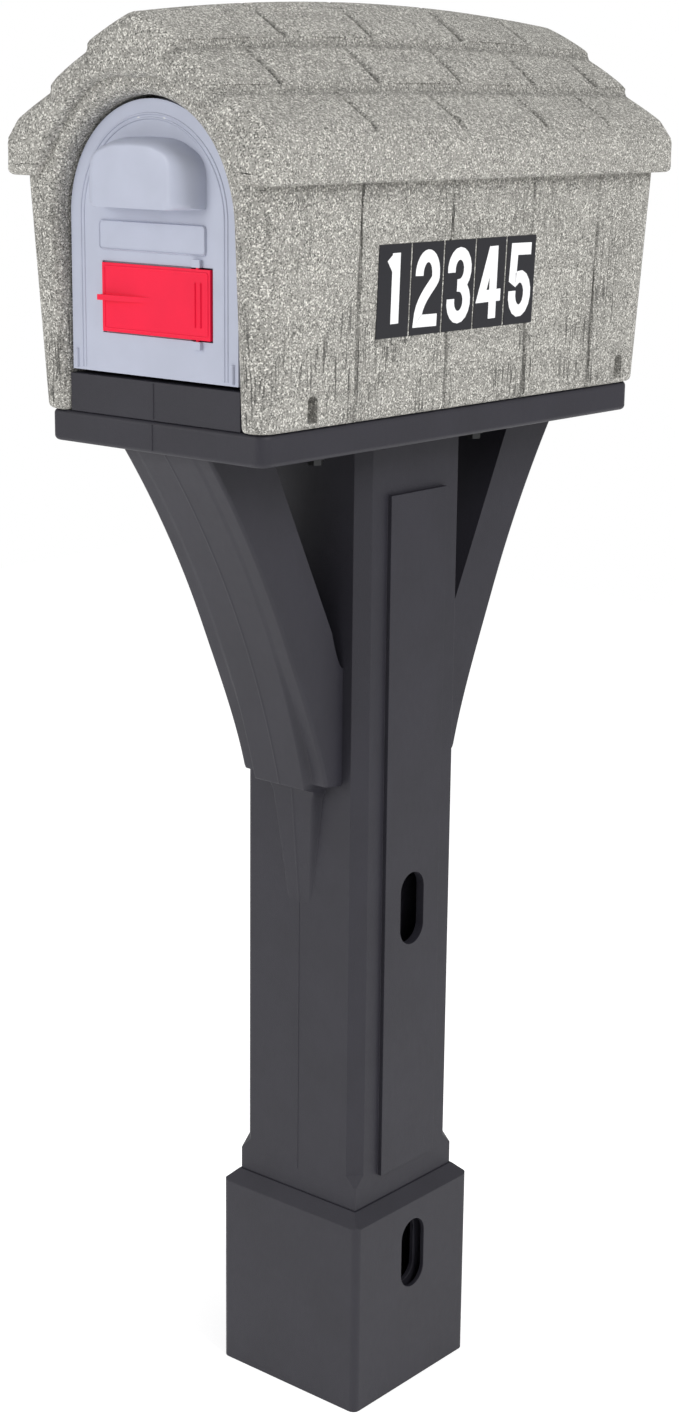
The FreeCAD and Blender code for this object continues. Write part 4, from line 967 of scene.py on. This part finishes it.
def surround_grid():
    """Points and columns of the front wall, its rounded rim and the compartment behind it."""
    radius = housing_sizes().rim_round
    rear = COMPARTMENT_END
    turns = [math.radians(9 * step) for step in range(11)]
    points = []
    recess = []
    columns = 0
    path = opening_path()
    for inner, direction, edge in path:
        strip = [(inner.x, y, inner.y) for y in (rear, rear / 2, 0.0, -rear / 2)]
        for turn in turns:
            spot = inner + direction * (radius * (1 - math.cos(turn)))
            spot.y = max(spot.y, FOOT)
            strip.append((spot.x, front_plane(spot.y) + radius * (1 - math.sin(turn)), spot.y))
        lip = inner + direction * radius
        eave_shade = [0.0] * len(strip)
        for share in (0.3, 0.5, 0.65, 0.8, 1.0):
            spot = lip.lerp(edge, share)
            strip.append((spot.x, front_plane(spot.y), spot.y))
            # Painted shade on the front wall where it runs under the fascia near the eave.
            hidden = (edge - inner).length * (1 - share) < 13.0 and spot.y > EAVE - 2.0
            eave_shade.append(0.55 if hidden else 0.0)
        recess += eave_shade
        columns = len(strip)
        points += strip
    return points, recess, len(path), columns


def build_shell():
    """Walls, front surround and mail compartment as one moulded skin."""
    points, recess, rows, columns = wall_grid()
    faces = grid_faces(rows, columns)
    more, eave_shade, strips, across = surround_grid()
    faces += [tuple(reversed(face)) for face in grid_faces(strips, across, first=len(points))]
    # Point values: dirt and painted shade in the plank grooves, painted shade under the eave.
    piece = mesh_object("walls", points + more, faces, recess + eave_shade)
    with edited(piece.data) as work:
        bmesh.ops.remove_doubles(work, verts=work.verts, dist=0.12 * MM)
        bmesh.ops.recalc_face_normals(work, faces=work.faces)
        side = max(work.faces, key=lambda face: face.calc_center_median().x)
        if side.normal.x < 0:
            bmesh.ops.reverse_faces(work, faces=work.faces)
    applied(piece, "SOLIDIFY", thickness=housing_sizes().skin * MM, offset=-1.0)
    smooth(piece, 40.0)
    return piece


def plate(name, outline, front, rear):
    """Flat plate between two Y places with this outline in X and Z."""
    count = len(outline)
    points = [(x, front, z) for x, z in outline] + [(x, rear, z) for x, z in outline]
    faces = [tuple(range(count)), tuple(range(2 * count - 1, count - 1, -1))]
    for number in range(count):
        after = (number + 1) % count
        faces.append((number, number + count, after + count, after))
    piece = mesh_object(name, points, faces)
    face_outwards(piece)
    applied(piece, "BEVEL", width=1.0 * MM, segments=2, limit_method="ANGLE",
            angle_limit=math.radians(40.0))
    smooth(piece, 40.0)
    return piece


def ridge(name, path, width, proud, face, closed=False):
    """Half-round ridge along an (x, z) path, standing out in -Y from a face."""
    section = ((-1.0, -0.3), (-0.9, 0.35), (-0.5, 0.85), (0.0, 1.0), (0.5, 0.85), (0.9, 0.35),
               (1.0, -0.3))
    line = [Vector(place) for place in path]
    if closed:
        line = [line[-1], *line, line[0]]
    normals = normals_of(line)
    if closed:
        line = line[1:-1]
        normals = normals[1:-1]
    points = []
    for place, normal in zip(line, normals):
        for across, out in section:
            spot = place + normal * (across * width / 2)
            points.append((spot.x, face - out * proud, spot.y))
    count = len(section)
    faces = grid_faces(len(line), count, wrap_rows=closed, wrap_columns=True)
    if not closed:
        faces += end_faces(count, len(points))
    return closed_piece(name, points, faces, 60.0)


def frame_path(left, right, low, high, radius):
    """Rounded rectangle in X and Z."""
    path = []
    corners = ((right, high, 0.0), (left, high, 0.5), (left, low, 1.0), (right, low, 1.5))
    for x, z, start in corners:
        centre = (x - math.copysign(radius, x - left - 1.0), z - math.copysign(radius, z - low - 1.0))
        for step in range(5):
            angle = math.pi * (start + step / 8)
            path.append((centre[0] + radius * math.cos(angle), centre[1] + radius * math.sin(angle)))
    return path


def arch_outline(half, foot, spring, steps=40):
    """Arched outline: two legs and a half circle."""
    arch = [(half * math.cos(math.pi * step / steps), spring + half * math.sin(math.pi * step / steps))
            for step in range(steps + 1)]
    return [(half, foot)] + arch + [(-half, foot)]


def build_compartment_back():
    """Plate that closes the mail compartment at the rear."""
    outline = arch_outline(OPENING_HALF + 3.0, FOOT + 4.0, SPRING)
    return plate("compartment_back", outline, COMPARTMENT_END - 3.0, COMPARTMENT_END)


def build_rear_gable():
    """Gable wall under the rear of the roof."""
    shares = [step / 30 for step in range(31)]
    line = [(place.x * 1.03, place.y + 4.0) for place in fascia_outline(shares)]
    outline = [(line[0][0], EAVE - 12.0)] + line[1:-1] + [(line[-1][0], EAVE - 12.0)]
    face = WALL_END + housing_sizes().lean_end - 0.8
    return plate("rear_gable", outline, face - 4.0, face)


# ---------------------------------------------------------------- arms

ARM_LOW, ARM_HIGH = low_high("front_arm")
POST_FACE = -ARM_HIGH.y
ARM_REACH = -ARM_LOW.y
ARM_HALF = ARM_HIGH.x
# Heights of the underside of the tray, the end of the side walls, the turn where the inner
# edge meets the post, and the middle of the band's curve.
TRAY_UNDER = FOOT - 30.0
ARM_END = TRAY_UNDER - 354.0
CROTCH = TRAY_UNDER - 231.0
WAIST = TRAY_UNDER - 257.0
# How far the band and the inner edge stand from the post's face there.
BAND_LOW = 31.5
BAND_WAIST = 60.5
BAND_HALF = 36.0
TURN_RISE = 39.0
TURN_REACH = 17.5
ARM_DEPTH = 84.0


def circle_through(first, second, third):
    """Centre and radius of the circle through three points."""
    (ax, ay), (bx, by), (cx, cy) = first, second, third
    twice = 2 * (ax * (by - cy) + bx * (cy - ay) + cx * (ay - by))
    squares = [x * x + y * y for x, y in (first, second, third)]
    x = (squares[0] * (by - cy) + squares[1] * (cy - ay) + squares[2] * (ay - by)) / twice
    y = (squares[0] * (cx - bx) + squares[1] * (ax - cx) + squares[2] * (bx - ax)) / twice
    return x, y, math.hypot(ax - x, ay - y)


def band_reach(height):
    """How far the arm's raised band stands from the post's axis at a height."""
    low_reach = POST_FACE + BAND_LOW
    if height >= ARM_END:
        x, y, radius = circle_through((ARM_REACH, TRAY_UNDER), (POST_FACE + BAND_WAIST, WAIST),
                                      (low_reach, ARM_END))
        return x - math.sqrt(radius ** 2 - (min(height, TRAY_UNDER) - y) ** 2)
    share = (height - ARM_LOW.z) / (ARM_END - ARM_LOW.z)
    tail = POST_FACE - 1.0 + 14.0 * share
    return tail + (low_reach - POST_FACE - 13.0) * eased(ARM_END - 9.0, ARM_END, height)


def band_step(height):
    """How far the side walls stand back from the band."""
    return 0.8 + 8.0 * eased(TRAY_UNDER - 190.0, ARM_END, height)


def band_half(height):
    """Half width of the band, which narrows to a tail under the side walls."""
    share = max(0.0, (ARM_END - height) / (ARM_END - ARM_LOW.z))
    narrowed = 6.0 * eased(0.0, 0.12, share) + 15.0 * share
    return BAND_HALF - narrowed


def inner_reach(height):
    """Inner edge of the arm: straight from the tray down to a short turn at the post."""
    turn = CROTCH + TURN_RISE
    if height <= CROTCH:
        return POST_FACE
    if height <= turn:
        share = (height - CROTCH) / TURN_RISE
        return POST_FACE + TURN_REACH * share ** 0.6
    share = (height - turn) / (TRAY_UNDER - turn)
    return POST_FACE + TURN_REACH + (ARM_REACH - ARM_DEPTH - POST_FACE - TURN_REACH) * share


def arm_rows():
    """Heights of the arm's sections, from its tail to the tray."""
    rows = [ARM_LOW.z + 9.0 * step for step in range(15)]
    rows += [ARM_END + offset for offset in (-12.0, -8.0, -4.0, -1.0, 0.0, 1.0, 2.5, 4.5, 8.0)]
    rows += [CROTCH + offset for offset in (0.0, 4.0, 9.0, 16.0, 25.0, 34.0, 39.0, 44.0)]
    rows += [ARM_END + 16.0 + 12.0 * step for step in range(29)]
    rows = sorted(row for row in rows if row < TRAY_UNDER - 3.0)
    return rows + [TRAY_UNDER, TRAY_UNDER + 6.0]


def arm_section(height):
    """Closed section of the arm at a height: x and distance from the post's axis."""
    reach = band_reach(height)
    half = band_half(height)
    ended = eased(ARM_END + 5.0, ARM_END - 0.5, height)
    side = reach - band_step(height)
    side = side + (POST_FACE - 1.5 - side) * ended
    inner = max(POST_FACE - 1.5, min(inner_reach(height), side - 3.0) - 1.5 * (height <= CROTCH))
    edge = 4.0
    foot = edge * max(0.0, 1 - (height - ARM_END) / 5.0) if height > ARM_END else edge
    outer = ARM_HALF - 0.6 * foot
    right = [(outer, inner), (outer, inner + (side - inner) * 0.5), (outer, side - edge)]
    for angle in (20, 45, 70, 90):
        turn = math.radians(angle)
        right.append((outer - edge * (1 - math.cos(turn)), side - edge + edge * math.sin(turn)))
    knee = min(outer - edge - 0.3, half + 4.0)
    for share in (0.0, 0.12, 0.25, 0.38, 0.5, 0.62, 0.75, 0.88, 1.0):
        x = knee + (half - 3.0 - knee) * share
        right.append((x, side + (reach - side) * eased(0.0, 1.0, share)))
    right += [(half - 4.0, reach), (half - 6.0, reach), (half * 0.6, reach)]
    right += [(3.6, reach), (2.4, reach), (1.6, reach), (0.8, reach + 0.35)]
    return right + [(0.0, reach + 0.5)] + mirrored(right)


def build_arm(name, facing):
    """One curved arm with its soft raised band, facing -1 to the front or 1 to the rear."""
    points = []
    count = 0
    rows = arm_rows()
    for height in rows:
        section = arm_section(height)
        count = len(section)
        points += [(x * -facing, y * facing, height) for x, y in section]
    faces = grid_faces(len(rows), count, wrap_columns=True) + end_faces(count, len(points))
    return closed_piece(name, points, faces, 50.0, flatten=True)


# ---------------------------------------------------------------- tray and mould lines

TRAY_CORNER = 13.0
RIM_COVER = 2.0
CORNER_STEPS = 8


def tray_centre():
    """Where the centre of the tray's corner radius is, in its right rear quarter."""
    return Vector((TRAY_HIGH.x - TRAY_CORNER, TRAY_HIGH.y - TRAY_CORNER))


def pull_tray_in(work):
    """Leave room for the rounded rim around a copy of the tray."""
    room = moulding_sizes().tray_edge
    straight = tray_centre()
    for vert in work.verts:
        place = vert.co / MM
        past = Vector((max(abs(place.x) - straight.x, 0.0), max(abs(place.y) - straight.y, 0.0)))
        if past.length > TRAY_CORNER - room:
            kept = past * (TRAY_CORNER - room) / past.length
            place.x -= math.copysign(past.x - kept.x, place.x)
            place.y -= math.copysign(past.y - kept.y, place.y)
            vert.co = place * MM


def build_tray_rim():
    """Outer rim of the tray, rounded above and below."""
    room = moulding_sizes().tray_edge
    steps = moulding_sizes().steps + 2
    turns = [math.pi / 2 * step / steps for step in range(steps + 1)]
    profile = [(room + RIM_COVER, FOOT - RIM_COVER)]
    profile += [(room * (1 - math.sin(turn)), FOOT - room * (1 - math.cos(turn))) for turn in turns]
    profile += [(room * (1 - math.cos(turn)), TRAY_UNDER + room * (1 - math.sin(turn)))
                for turn in turns]
    profile.append((room + RIM_COVER, TRAY_UNDER + RIM_COVER))
    straight = tray_centre()
    points = []
    for quarter, (side, end) in enumerate(((1, 1), (-1, 1), (-1, -1), (1, -1))):
        for step in range(CORNER_STEPS + 1):
            turn = math.pi / 2 * (quarter + step / CORNER_STEPS)
            for inward, height in profile:
                reach = TRAY_CORNER - inward
                points.append((side * straight.x + reach * math.cos(turn),
                               end * straight.y + reach * math.sin(turn), height))
    rows = 4 * (CORNER_STEPS + 1)
    faces = grid_faces(rows, len(profile), wrap_rows=True, wrap_columns=True)
    return closed_piece("tray_rim", points, faces, 40.0, flatten=True)


def build_seams():
    """Raised lines left by the mould's halves down the front of the tray, floor and post."""
    seams = []
    for node, low, high in (("tray", -27.0, -3.0), ("floor_deck", 2.0, 34.0)):
        path = [(0.0, FOOT + low), (0.0, FOOT + high)]
        seams.append(ridge(f"{node}_seam", path, 2.4, 0.9, low_high(node)[0].y))
    foot = low_high("base_sleeve")[1].z + 25.0
    path = [(0.0, foot), (0.0, ARM_LOW.z + 8.0)]
    seams.append(ridge("post_seam", path, 1.6, 0.5, -POST_FACE))
    return seams


# ---------------------------------------------------------------- numbers

NUMBERS = (1, 2, 3, 4, 5)
NUMERAL_HALF = 12.4
NUMERAL_RISE = 30.0
STROKE_WIDE = 11.6


def bow(centre, radii, start, end, steps=14):
    """Points of an elliptical arc, angles in degrees."""
    points = []
    for step in range(steps + 1):
        angle = math.radians(start + (end - start) * step / steps)
        points.append((centre[0] + radii[0] * math.cos(angle),
                       centre[1] + radii[1] * math.sin(angle)))
    return points


def numeral_strokes(number, half, rise):
    """Centre lines of a numeral's strokes, within half a width and half a height."""
    low = half * 1.35
    if number == 1:
        return [[(2.0, -rise), (2.0, rise + 4.6)], [(2.0, rise), (-7.5, rise - 7.0)]]
    if number == 2:
        bend = [tuple(bezier(((half, rise - low - 3), (half, 4), (-half, -8), (-half, -rise)),
                             step / 10)) for step in range(11)]
        return [bow((0, rise - low), (half, low), 185, 0) + bend + [(half + 4.6, -rise)]]
    if number == 3:
        tall = rise / 2
        return [bow((0, rise - tall), (half, tall), 190, -90) + [(-3.0, 0.0)],
                [(-3.0, 0.0)] + bow((0, tall - rise), (half, tall), 90, -190)]
    if number == 4:
        return [[(3.0, rise + 3.0), (-half - 1.0, -rise * 0.42), (half + 5.0, -rise * 0.42)],
                [(5.0, rise + 4.6), (5.0, -rise - 4.6)]]
    return [[(half + 3.0, rise), (-half + 1.0, rise), (-half, rise * 0.08)]
            + bow((0, low - rise), (half, low), 128, -190)]


def stroke_ribbon(path, width):
    """Left and right edge of a stroke, with mitred corners."""
    line = [Vector(place) for place in path]
    edges = []
    for number, place in enumerate(line):
        runs = []
        if number:
            runs.append((place - line[number - 1]).normalized())
        if number < len(line) - 1:
            runs.append((line[number + 1] - place).normalized())
        normals = [Vector((run.y, -run.x)) for run in runs]
        middle = sum(normals, Vector((0.0, 0.0))).normalized()
        reach = width / 2 / max(0.45, middle.dot(normals[0]))
        edges.append((place - middle * reach, place + middle * reach))
    return edges


def build_numeral(number):
    """One numeral in white on its black plate."""
    node = f"number_plate_{number}"
    low, high = low_high(node)
    plaque = softened(node, f"plate_{number}", 0.25, 2)
    settle(plaque, "number_vinyl", nodes=(node,))
    lean = (high.x - low.x - 0.8) / (high.z - low.z)
    middle = ((low.y + high.y) / 2, (low.z + high.z) / 2)
    tilt = math.radians(0.8 * math.sin(2.1 * number))
    points = []
    faces = []
    for layer, path in enumerate(numeral_strokes(number, NUMERAL_HALF, NUMERAL_RISE)):
        edges = stroke_ribbon(path, STROKE_WIDE)
        first = len(points)
        for pair in edges:
            for out in (0.02, 0.22 + 0.04 * layer):
                for spot in pair if out < 0.1 else reversed(pair):
                    y = middle[0] + spot.x * math.cos(tilt) - spot.y * math.sin(tilt)
                    z = middle[1] + spot.y * math.cos(tilt) + spot.x * math.sin(tilt)
                    points.append((high.x - (high.z - z) * lean + out, y, z))
        faces += grid_faces(len(edges), 4, wrap_columns=True, first=first)
        faces += end_faces(4, len(points), first)
    piece = closed_piece(f"numeral_{number}", points, faces, 40.0)
    settle(piece, "number_vinyl", finish="numeral_vinyl")


# ---------------------------------------------------------------- door and flag

HOOD_FOOT = SPRING + 10.0
HOOD_REACH = 28.0
HOOD_POINTS = 96
HOOD_ROWS = 14
# Half width, shoulder, top and corner radius of the hood on the door and at its front.
HOOD_ON_DOOR = (66.5, SPRING + 55.0, SPRING + 72.0, 26.0)
HOOD_AT_FRONT = (45.0, SPRING + 56.0, SPRING + 64.0, 14.0)


def hood_outline(half, shoulder, top, corner):
    """Outline of the finger hood: straight foot, upright sides and a low-arched top."""
    right = [(half, HOOD_FOOT, 3.0), (half, shoulder, corner), (half * 0.5, top - 1.0, 2.2 * corner)]
    return rounded_line([(0.0, HOOD_FOOT, 0.0), *right, (0.0, top, 30.0), *mirrored(right),
                         (0.0, HOOD_FOOT, 0.0)], 5)


def resampled(line, count):
    """The polyline as count points, evenly spaced, without its last point."""
    shares = shares_of(line)
    made = []
    index = 0
    for number in range(count):
        share = number / count
        while shares[index + 1] < share:
            index += 1
        start, end = line[index], line[index + 1]
        run = (share - shares[index]) / (shares[index + 1] - shares[index])
        made.append(start.lerp(end, run))
    return made


def build_hood():
    """Soft finger hood moulded on the door."""
    count = HOOD_POINTS
    foot = resampled(hood_outline(*HOOD_ON_DOOR), count)
    front = resampled(hood_outline(*HOOD_AT_FRONT), count)
    points = [(place.x * 1.01, DOOR_FACE + 1.5, place.y) for place in foot]
    for step in range(HOOD_ROWS + 1):
        angle = math.radians(90 * step / HOOD_ROWS)
        out = math.sin(angle) ** 0.95
        shrink = (1 - math.cos(angle)) ** 0.85
        for start, end in zip(foot, front):
            spot = start.lerp(end, shrink)
            points.append((spot.x, DOOR_FACE - HOOD_REACH * out, spot.y))
    centre = Vector((0.0, HOOD_FOOT + 22.0))
    for share in (0.7, 0.35):
        for place in front:
            spot = centre.lerp(place, share)
            points.append((spot.x, DOOR_FACE - HOOD_REACH - 0.4 * (1 - share), spot.y))
    points.append((centre.x, DOOR_FACE - HOOD_REACH - 0.4, centre.y))
    rows = (len(points) - 1) // count
    faces = grid_faces(rows, count, wrap_columns=True)
    faces.append(tuple(range(count)))
    last = (rows - 1) * count
    for number in range(count):
        faces.append((last + number, last + (number + 1) % count, len(points) - 1))
    return closed_piece("door_hood", points, faces, 50.0)


def cut_hood_off(work):
    """Take the CAD hood off a copy of the door and close the skin."""
    gone = [face for face in work.faces
            if face.calc_center_median().y < (DOOR_FACE - 0.2) * MM
            and face.calc_center_median().z > (SPRING + 7.0) * MM]
    bmesh.ops.delete(work, geom=gone, context="FACES")
    open_edges = [edge for edge in work.edges if edge.is_boundary]
    bmesh.ops.holes_fill(work, edges=open_edges)


def build_door():
    """Door panel with its flange, bosses and flag recess."""
    sizes = moulding_sizes()
    return softened("door", "door_panel", sizes.door_edge, sizes.steps, prepare=cut_hood_off)


def build_door_trim():
    """Double bead round the door, frame of its plaque and the two stops at its foot."""
    foot = DOOR_LOW.z + 3.0
    pieces = []
    for number, half in enumerate((DOOR_HALF - 13.0, DOOR_HALF - 17.0)):
        path = arch_outline(half, foot, SPRING, 60)
        pieces.append(ridge(f"door_bead_{number + 1}", path, 2.4, 0.9, DOOR_FACE))
    pieces.append(ridge("plaque_frame", frame_path(-66.0, 66.0, DOOR_LOW.z + 113.0,
                                                   DOOR_LOW.z + 138.0, 3.0),
                        1.8, 2.3, DOOR_FACE, closed=True))
    for number, side in enumerate((-1, 1)):
        x = side * (DOOR_HALF - 6.0)
        path = ((x, DOOR_LOW.z + 2.0), (x, DOOR_LOW.z + 19.0))
        pieces.append(ridge(f"door_stop_{number + 1}", path, 3.6, 2.4, DOOR_FACE))
    return pieces


def build_flag_trim():
    """Rim and hinge ribs of the flag."""
    face = FLAG_FACE
    left, right = FLAG_LOW.x, FLAG_RIGHT
    low, high = FLAG_FOOT, FLAG_TOP
    pieces = [ridge("flag_rim", frame_path(left + 3.0, right - 3.0, low + 3.0, high - 3.0, 2.0),
                    1.6, 0.6, face, closed=True)]
    for number, x in enumerate((54.5, 61.3)):
        path = ((x, low + 11.0), (x, high - 12.0))
        pieces.append(ridge(f"flag_rib_{number + 1}", path, 2.0, 1.3, face))
    return pieces


# ---------------------------------------------------------------- operators

class MAILBOX_OT_base_and_post(bpy.types.Operator):
    """Make the base sleeve, the post and its liner with moulded edges"""

    bl_idname = "mailbox.base_and_post"
    bl_label = "Base and post"

    def execute(self, context):
        sizes = moulding_sizes()
        for node in ("base_sleeve", "post_column", "post_liner"):
            piece = softened(node, f"moulded_{node}", sizes.post_edge, sizes.steps)
            settle(piece, "dark_plastic", nodes=(node,))
        return {"FINISHED"}


class MAILBOX_OT_arms(bpy.types.Operator):
    """Make the two curved arms under the tray"""

    bl_idname = "mailbox.arms"
    bl_label = "Arms"

    def execute(self, context):
        for node, facing in (("front_arm", -1), ("rear_arm", 1)):
            piece = build_arm(f"moulded_{node}", facing)
            settle(piece, "dark_plastic", nodes=(node,))
        return {"FINISHED"}


class MAILBOX_OT_tray(bpy.types.Operator):
    """Make the tray and the raised floor of the mail compartment"""

    bl_idname = "mailbox.tray"
    bl_label = "Tray and floor"

    def execute(self, context):
        sizes = moulding_sizes()
        tray = softened("tray", "moulded_tray", 1.0, sizes.steps, prepare=pull_tray_in)
        settle(tray, "dark_plastic", nodes=("tray",))
        settle(build_tray_rim(), "dark_plastic")
        deck = softened("floor_deck", "moulded_floor_deck", 3.0, sizes.steps)
        settle(deck, "dark_plastic", nodes=("floor_deck",))
        for seam in build_seams():
            settle(seam, "dark_plastic")
        return {"FINISHED"}


class MAILBOX_OT_housing(bpy.types.Operator):
    """Make the housing: walls, front surround, compartment back, rear gable and roof"""

    bl_idname = "mailbox.housing"
    bl_label = "Housing"

    def execute(self, context):
        makers = (build_shell, build_compartment_back, build_rear_gable, build_roof)
        for maker in makers:
            settle(maker(), "stone_plastic", nodes=("housing",))
        return {"FINISHED"}


class MAILBOX_OT_numbers(bpy.types.Operator):
    """Make the five number plates with their numerals"""

    bl_idname = "mailbox.numbers"
    bl_label = "Number plates"

    def execute(self, context):
        for number in NUMBERS:
            build_numeral(number)
        return {"FINISHED"}


class MAILBOX_OT_door(bpy.types.Operator):
    """Make the door with its finger hood"""

    bl_idname = "mailbox.door"
    bl_label = "Door"

    def execute(self, context):
        for piece in (build_door(), build_hood(), *build_door_trim()):
            settle(piece, "door_plastic", "door", ("door",))
        return {"FINISHED"}


class MAILBOX_OT_flag(bpy.types.Operator):
    """Make the red flag on the door"""

    bl_idname = "mailbox.flag"
    bl_label = "Flag"

    def execute(self, context):
        for piece in (softened("flag", "flag_plate", 0.8, 2), *build_flag_trim()):
            settle(piece, "flag_plastic", "flag", ("flag",))
        return {"FINISHED"}


HARDWARE = {
    "tray_bolts": "blackened_steel", "tray_washers": "blackened_steel", "floor_inserts": "brass_insert",
    "housing_screws": "zinc_steel", "housing_washers": "zinc_steel",
    "door_hinge_pins": "zinc_steel", "strike_plate": "zinc_steel", "strike_rivets": "zinc_steel",
    "catch_magnet": "magnet_black", "catch_bracket": "dark_plastic",
}


class MAILBOX_OT_hardware(bpy.types.Operator):
    """Finish the bolts, screws, washers, inserts, hinge pins and magnetic catch"""

    bl_idname = "mailbox.hardware"
    bl_label = "Hardware"

    def execute(self, context):
        for node, slot in HARDWARE.items():
            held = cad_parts[node]
            for place in held.material_slots:
                place.material = finish_of(slot)
        return {"FINISHED"}


# ---------------------------------------------------------------- stage

FLOOR_REACH = 3600.0
SKY_LIGHT = 0.52
AIM = (0.0, 0.0, 1.0)
CAMERA_PLACE = (1.550, -1.857, 1.369)
CAMERA_YAW = 40.14
CAMERA_PITCH = -14.56
CAMERA_ROLL = 0.61
CAMERA_LENS = 61.2


def stage_floor():
    """Pale floor far wider than the object."""
    reach = FLOOR_REACH
    floor = mesh_object("stage_floor", ((-reach, -reach, 0.0), (reach, -reach, 0.0),
                                        (reach, reach, 0.0), (-reach, reach, 0.0)),
                        [(0, 1, 2, 3)])
    floor.data.materials.append(floor_paint())


def studio_world():
    """White surroundings that light the object with a share of their own brightness."""
    world = bpy.data.worlds.new("studio")
    world.use_nodes = True
    nodes = world.node_tree.nodes
    links = world.node_tree.links
    sky = nodes["Background"]
    sky.inputs["Color"].default_value = WHITE
    seen = nodes.new("ShaderNodeLightPath").outputs["Is Camera Ray"]
    level = nodes.new("ShaderNodeMath")
    level.operation = "MULTIPLY_ADD"
    level.inputs[1].default_value = 1.0 - SKY_LIGHT
    level.inputs[2].default_value = SKY_LIGHT
    links.new(seen, level.inputs[0])
    links.new(level.outputs[0], sky.inputs["Strength"])
    return world


def area_light(name, place, size, power):
    """Soft rectangular light aimed at the object, its place and size in metres."""
    lamp = bpy.data.lights.new(name, "AREA")
    lamp.shape = "RECTANGLE"
    lamp.size, lamp.size_y = size
    lamp.energy = power
    made = bpy.data.objects.new(name, lamp)
    made.location = place
    made.rotation_euler = (Vector(AIM) - Vector(place)).to_track_quat("-Z", "Y").to_euler()
    bpy.context.scene.collection.objects.link(made)


def stage_camera():
    """Camera in front of the right side, looking down a little."""
    camera = bpy.data.cameras.new("camera")
    camera.lens = CAMERA_LENS
    camera.sensor_width = 36.0
    camera.clip_end = 100.0
    made = bpy.data.objects.new("camera", camera)
    made.location = CAMERA_PLACE
    yaw = math.radians(CAMERA_YAW)
    pitch = math.radians(CAMERA_PITCH)
    look = Vector((-math.sin(yaw) * math.cos(pitch), math.cos(yaw) * math.cos(pitch),
                   math.sin(pitch)))
    roll = Quaternion(AIM, math.radians(CAMERA_ROLL))
    made.rotation_euler = (look.to_track_quat("-Z", "Y") @ roll).to_euler()
    bpy.context.scene.collection.objects.link(made)
    return made


class MAILBOX_OT_stage(bpy.types.Operator):
    """Make the pale floor, the soft studio light and the camera"""

    bl_idname = "mailbox.stage"
    bl_label = "Stage"

    def execute(self, context):
        scene = context.scene
        stage_floor()
        scene.world = studio_world()
        area_light("key", (2.75, -0.3, 2.95), (1.2, 1.6), 66.0)
        area_light("front", (-1.4, -3.2, 2.2), (1.6, 2.0), 53.0)
        scene.camera = stage_camera()
        scene.view_settings.view_transform = "Standard"
        return {"FINISHED"}


OPERATORS = (MAILBOX_OT_base_and_post, MAILBOX_OT_arms, MAILBOX_OT_tray, MAILBOX_OT_housing,
             MAILBOX_OT_numbers, MAILBOX_OT_door, MAILBOX_OT_flag, MAILBOX_OT_hardware,
             MAILBOX_OT_stage)


class MAILBOX_PT_parts(bpy.types.Panel):
    """Buttons for each group of pieces and the stage"""

    bl_idname = "MAILBOX_PT_parts"
    bl_label = "Mailbox"
    bl_space_type = "VIEW_3D"
    bl_region_type = "UI"
    bl_category = "Mailbox"

    def draw(self, context):
        for operator in OPERATORS:
            self.layout.operator(operator.bl_idname)
        for group_name in GROUPS:
            group = getattr(context.scene, group_name)
            box = self.layout.box()
            for name in group.__annotations__:
                box.prop(group, name)


GROUPS = {"mailbox_housing": HousingSizes, "mailbox_moulding": MouldingSizes,
          "mailbox_finishes": Finishes}
CLASSES = (*GROUPS.values(), *OPERATORS, MAILBOX_PT_parts)


def register():
    """Register the classes and hang the settings on the scene."""
    for item in CLASSES:
        bpy.utils.register_class(item)
    for name, group in GROUPS.items():
        setattr(bpy.types.Scene, name, PointerProperty(type=group))


def unregister():
    """Take the settings and the classes away again."""
    for name in GROUPS:
        delattr(bpy.types.Scene, name)
    for item in reversed(CLASSES):
        bpy.utils.unregister_class(item)


def main():
    """Register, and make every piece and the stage."""
    register()
    clear_imported_materials()
    for operator in OPERATORS:
        group, name = operator.bl_idname.split(".")
        getattr(getattr(bpy.ops, group), name)()


if __name__ == "__main__":
    main()
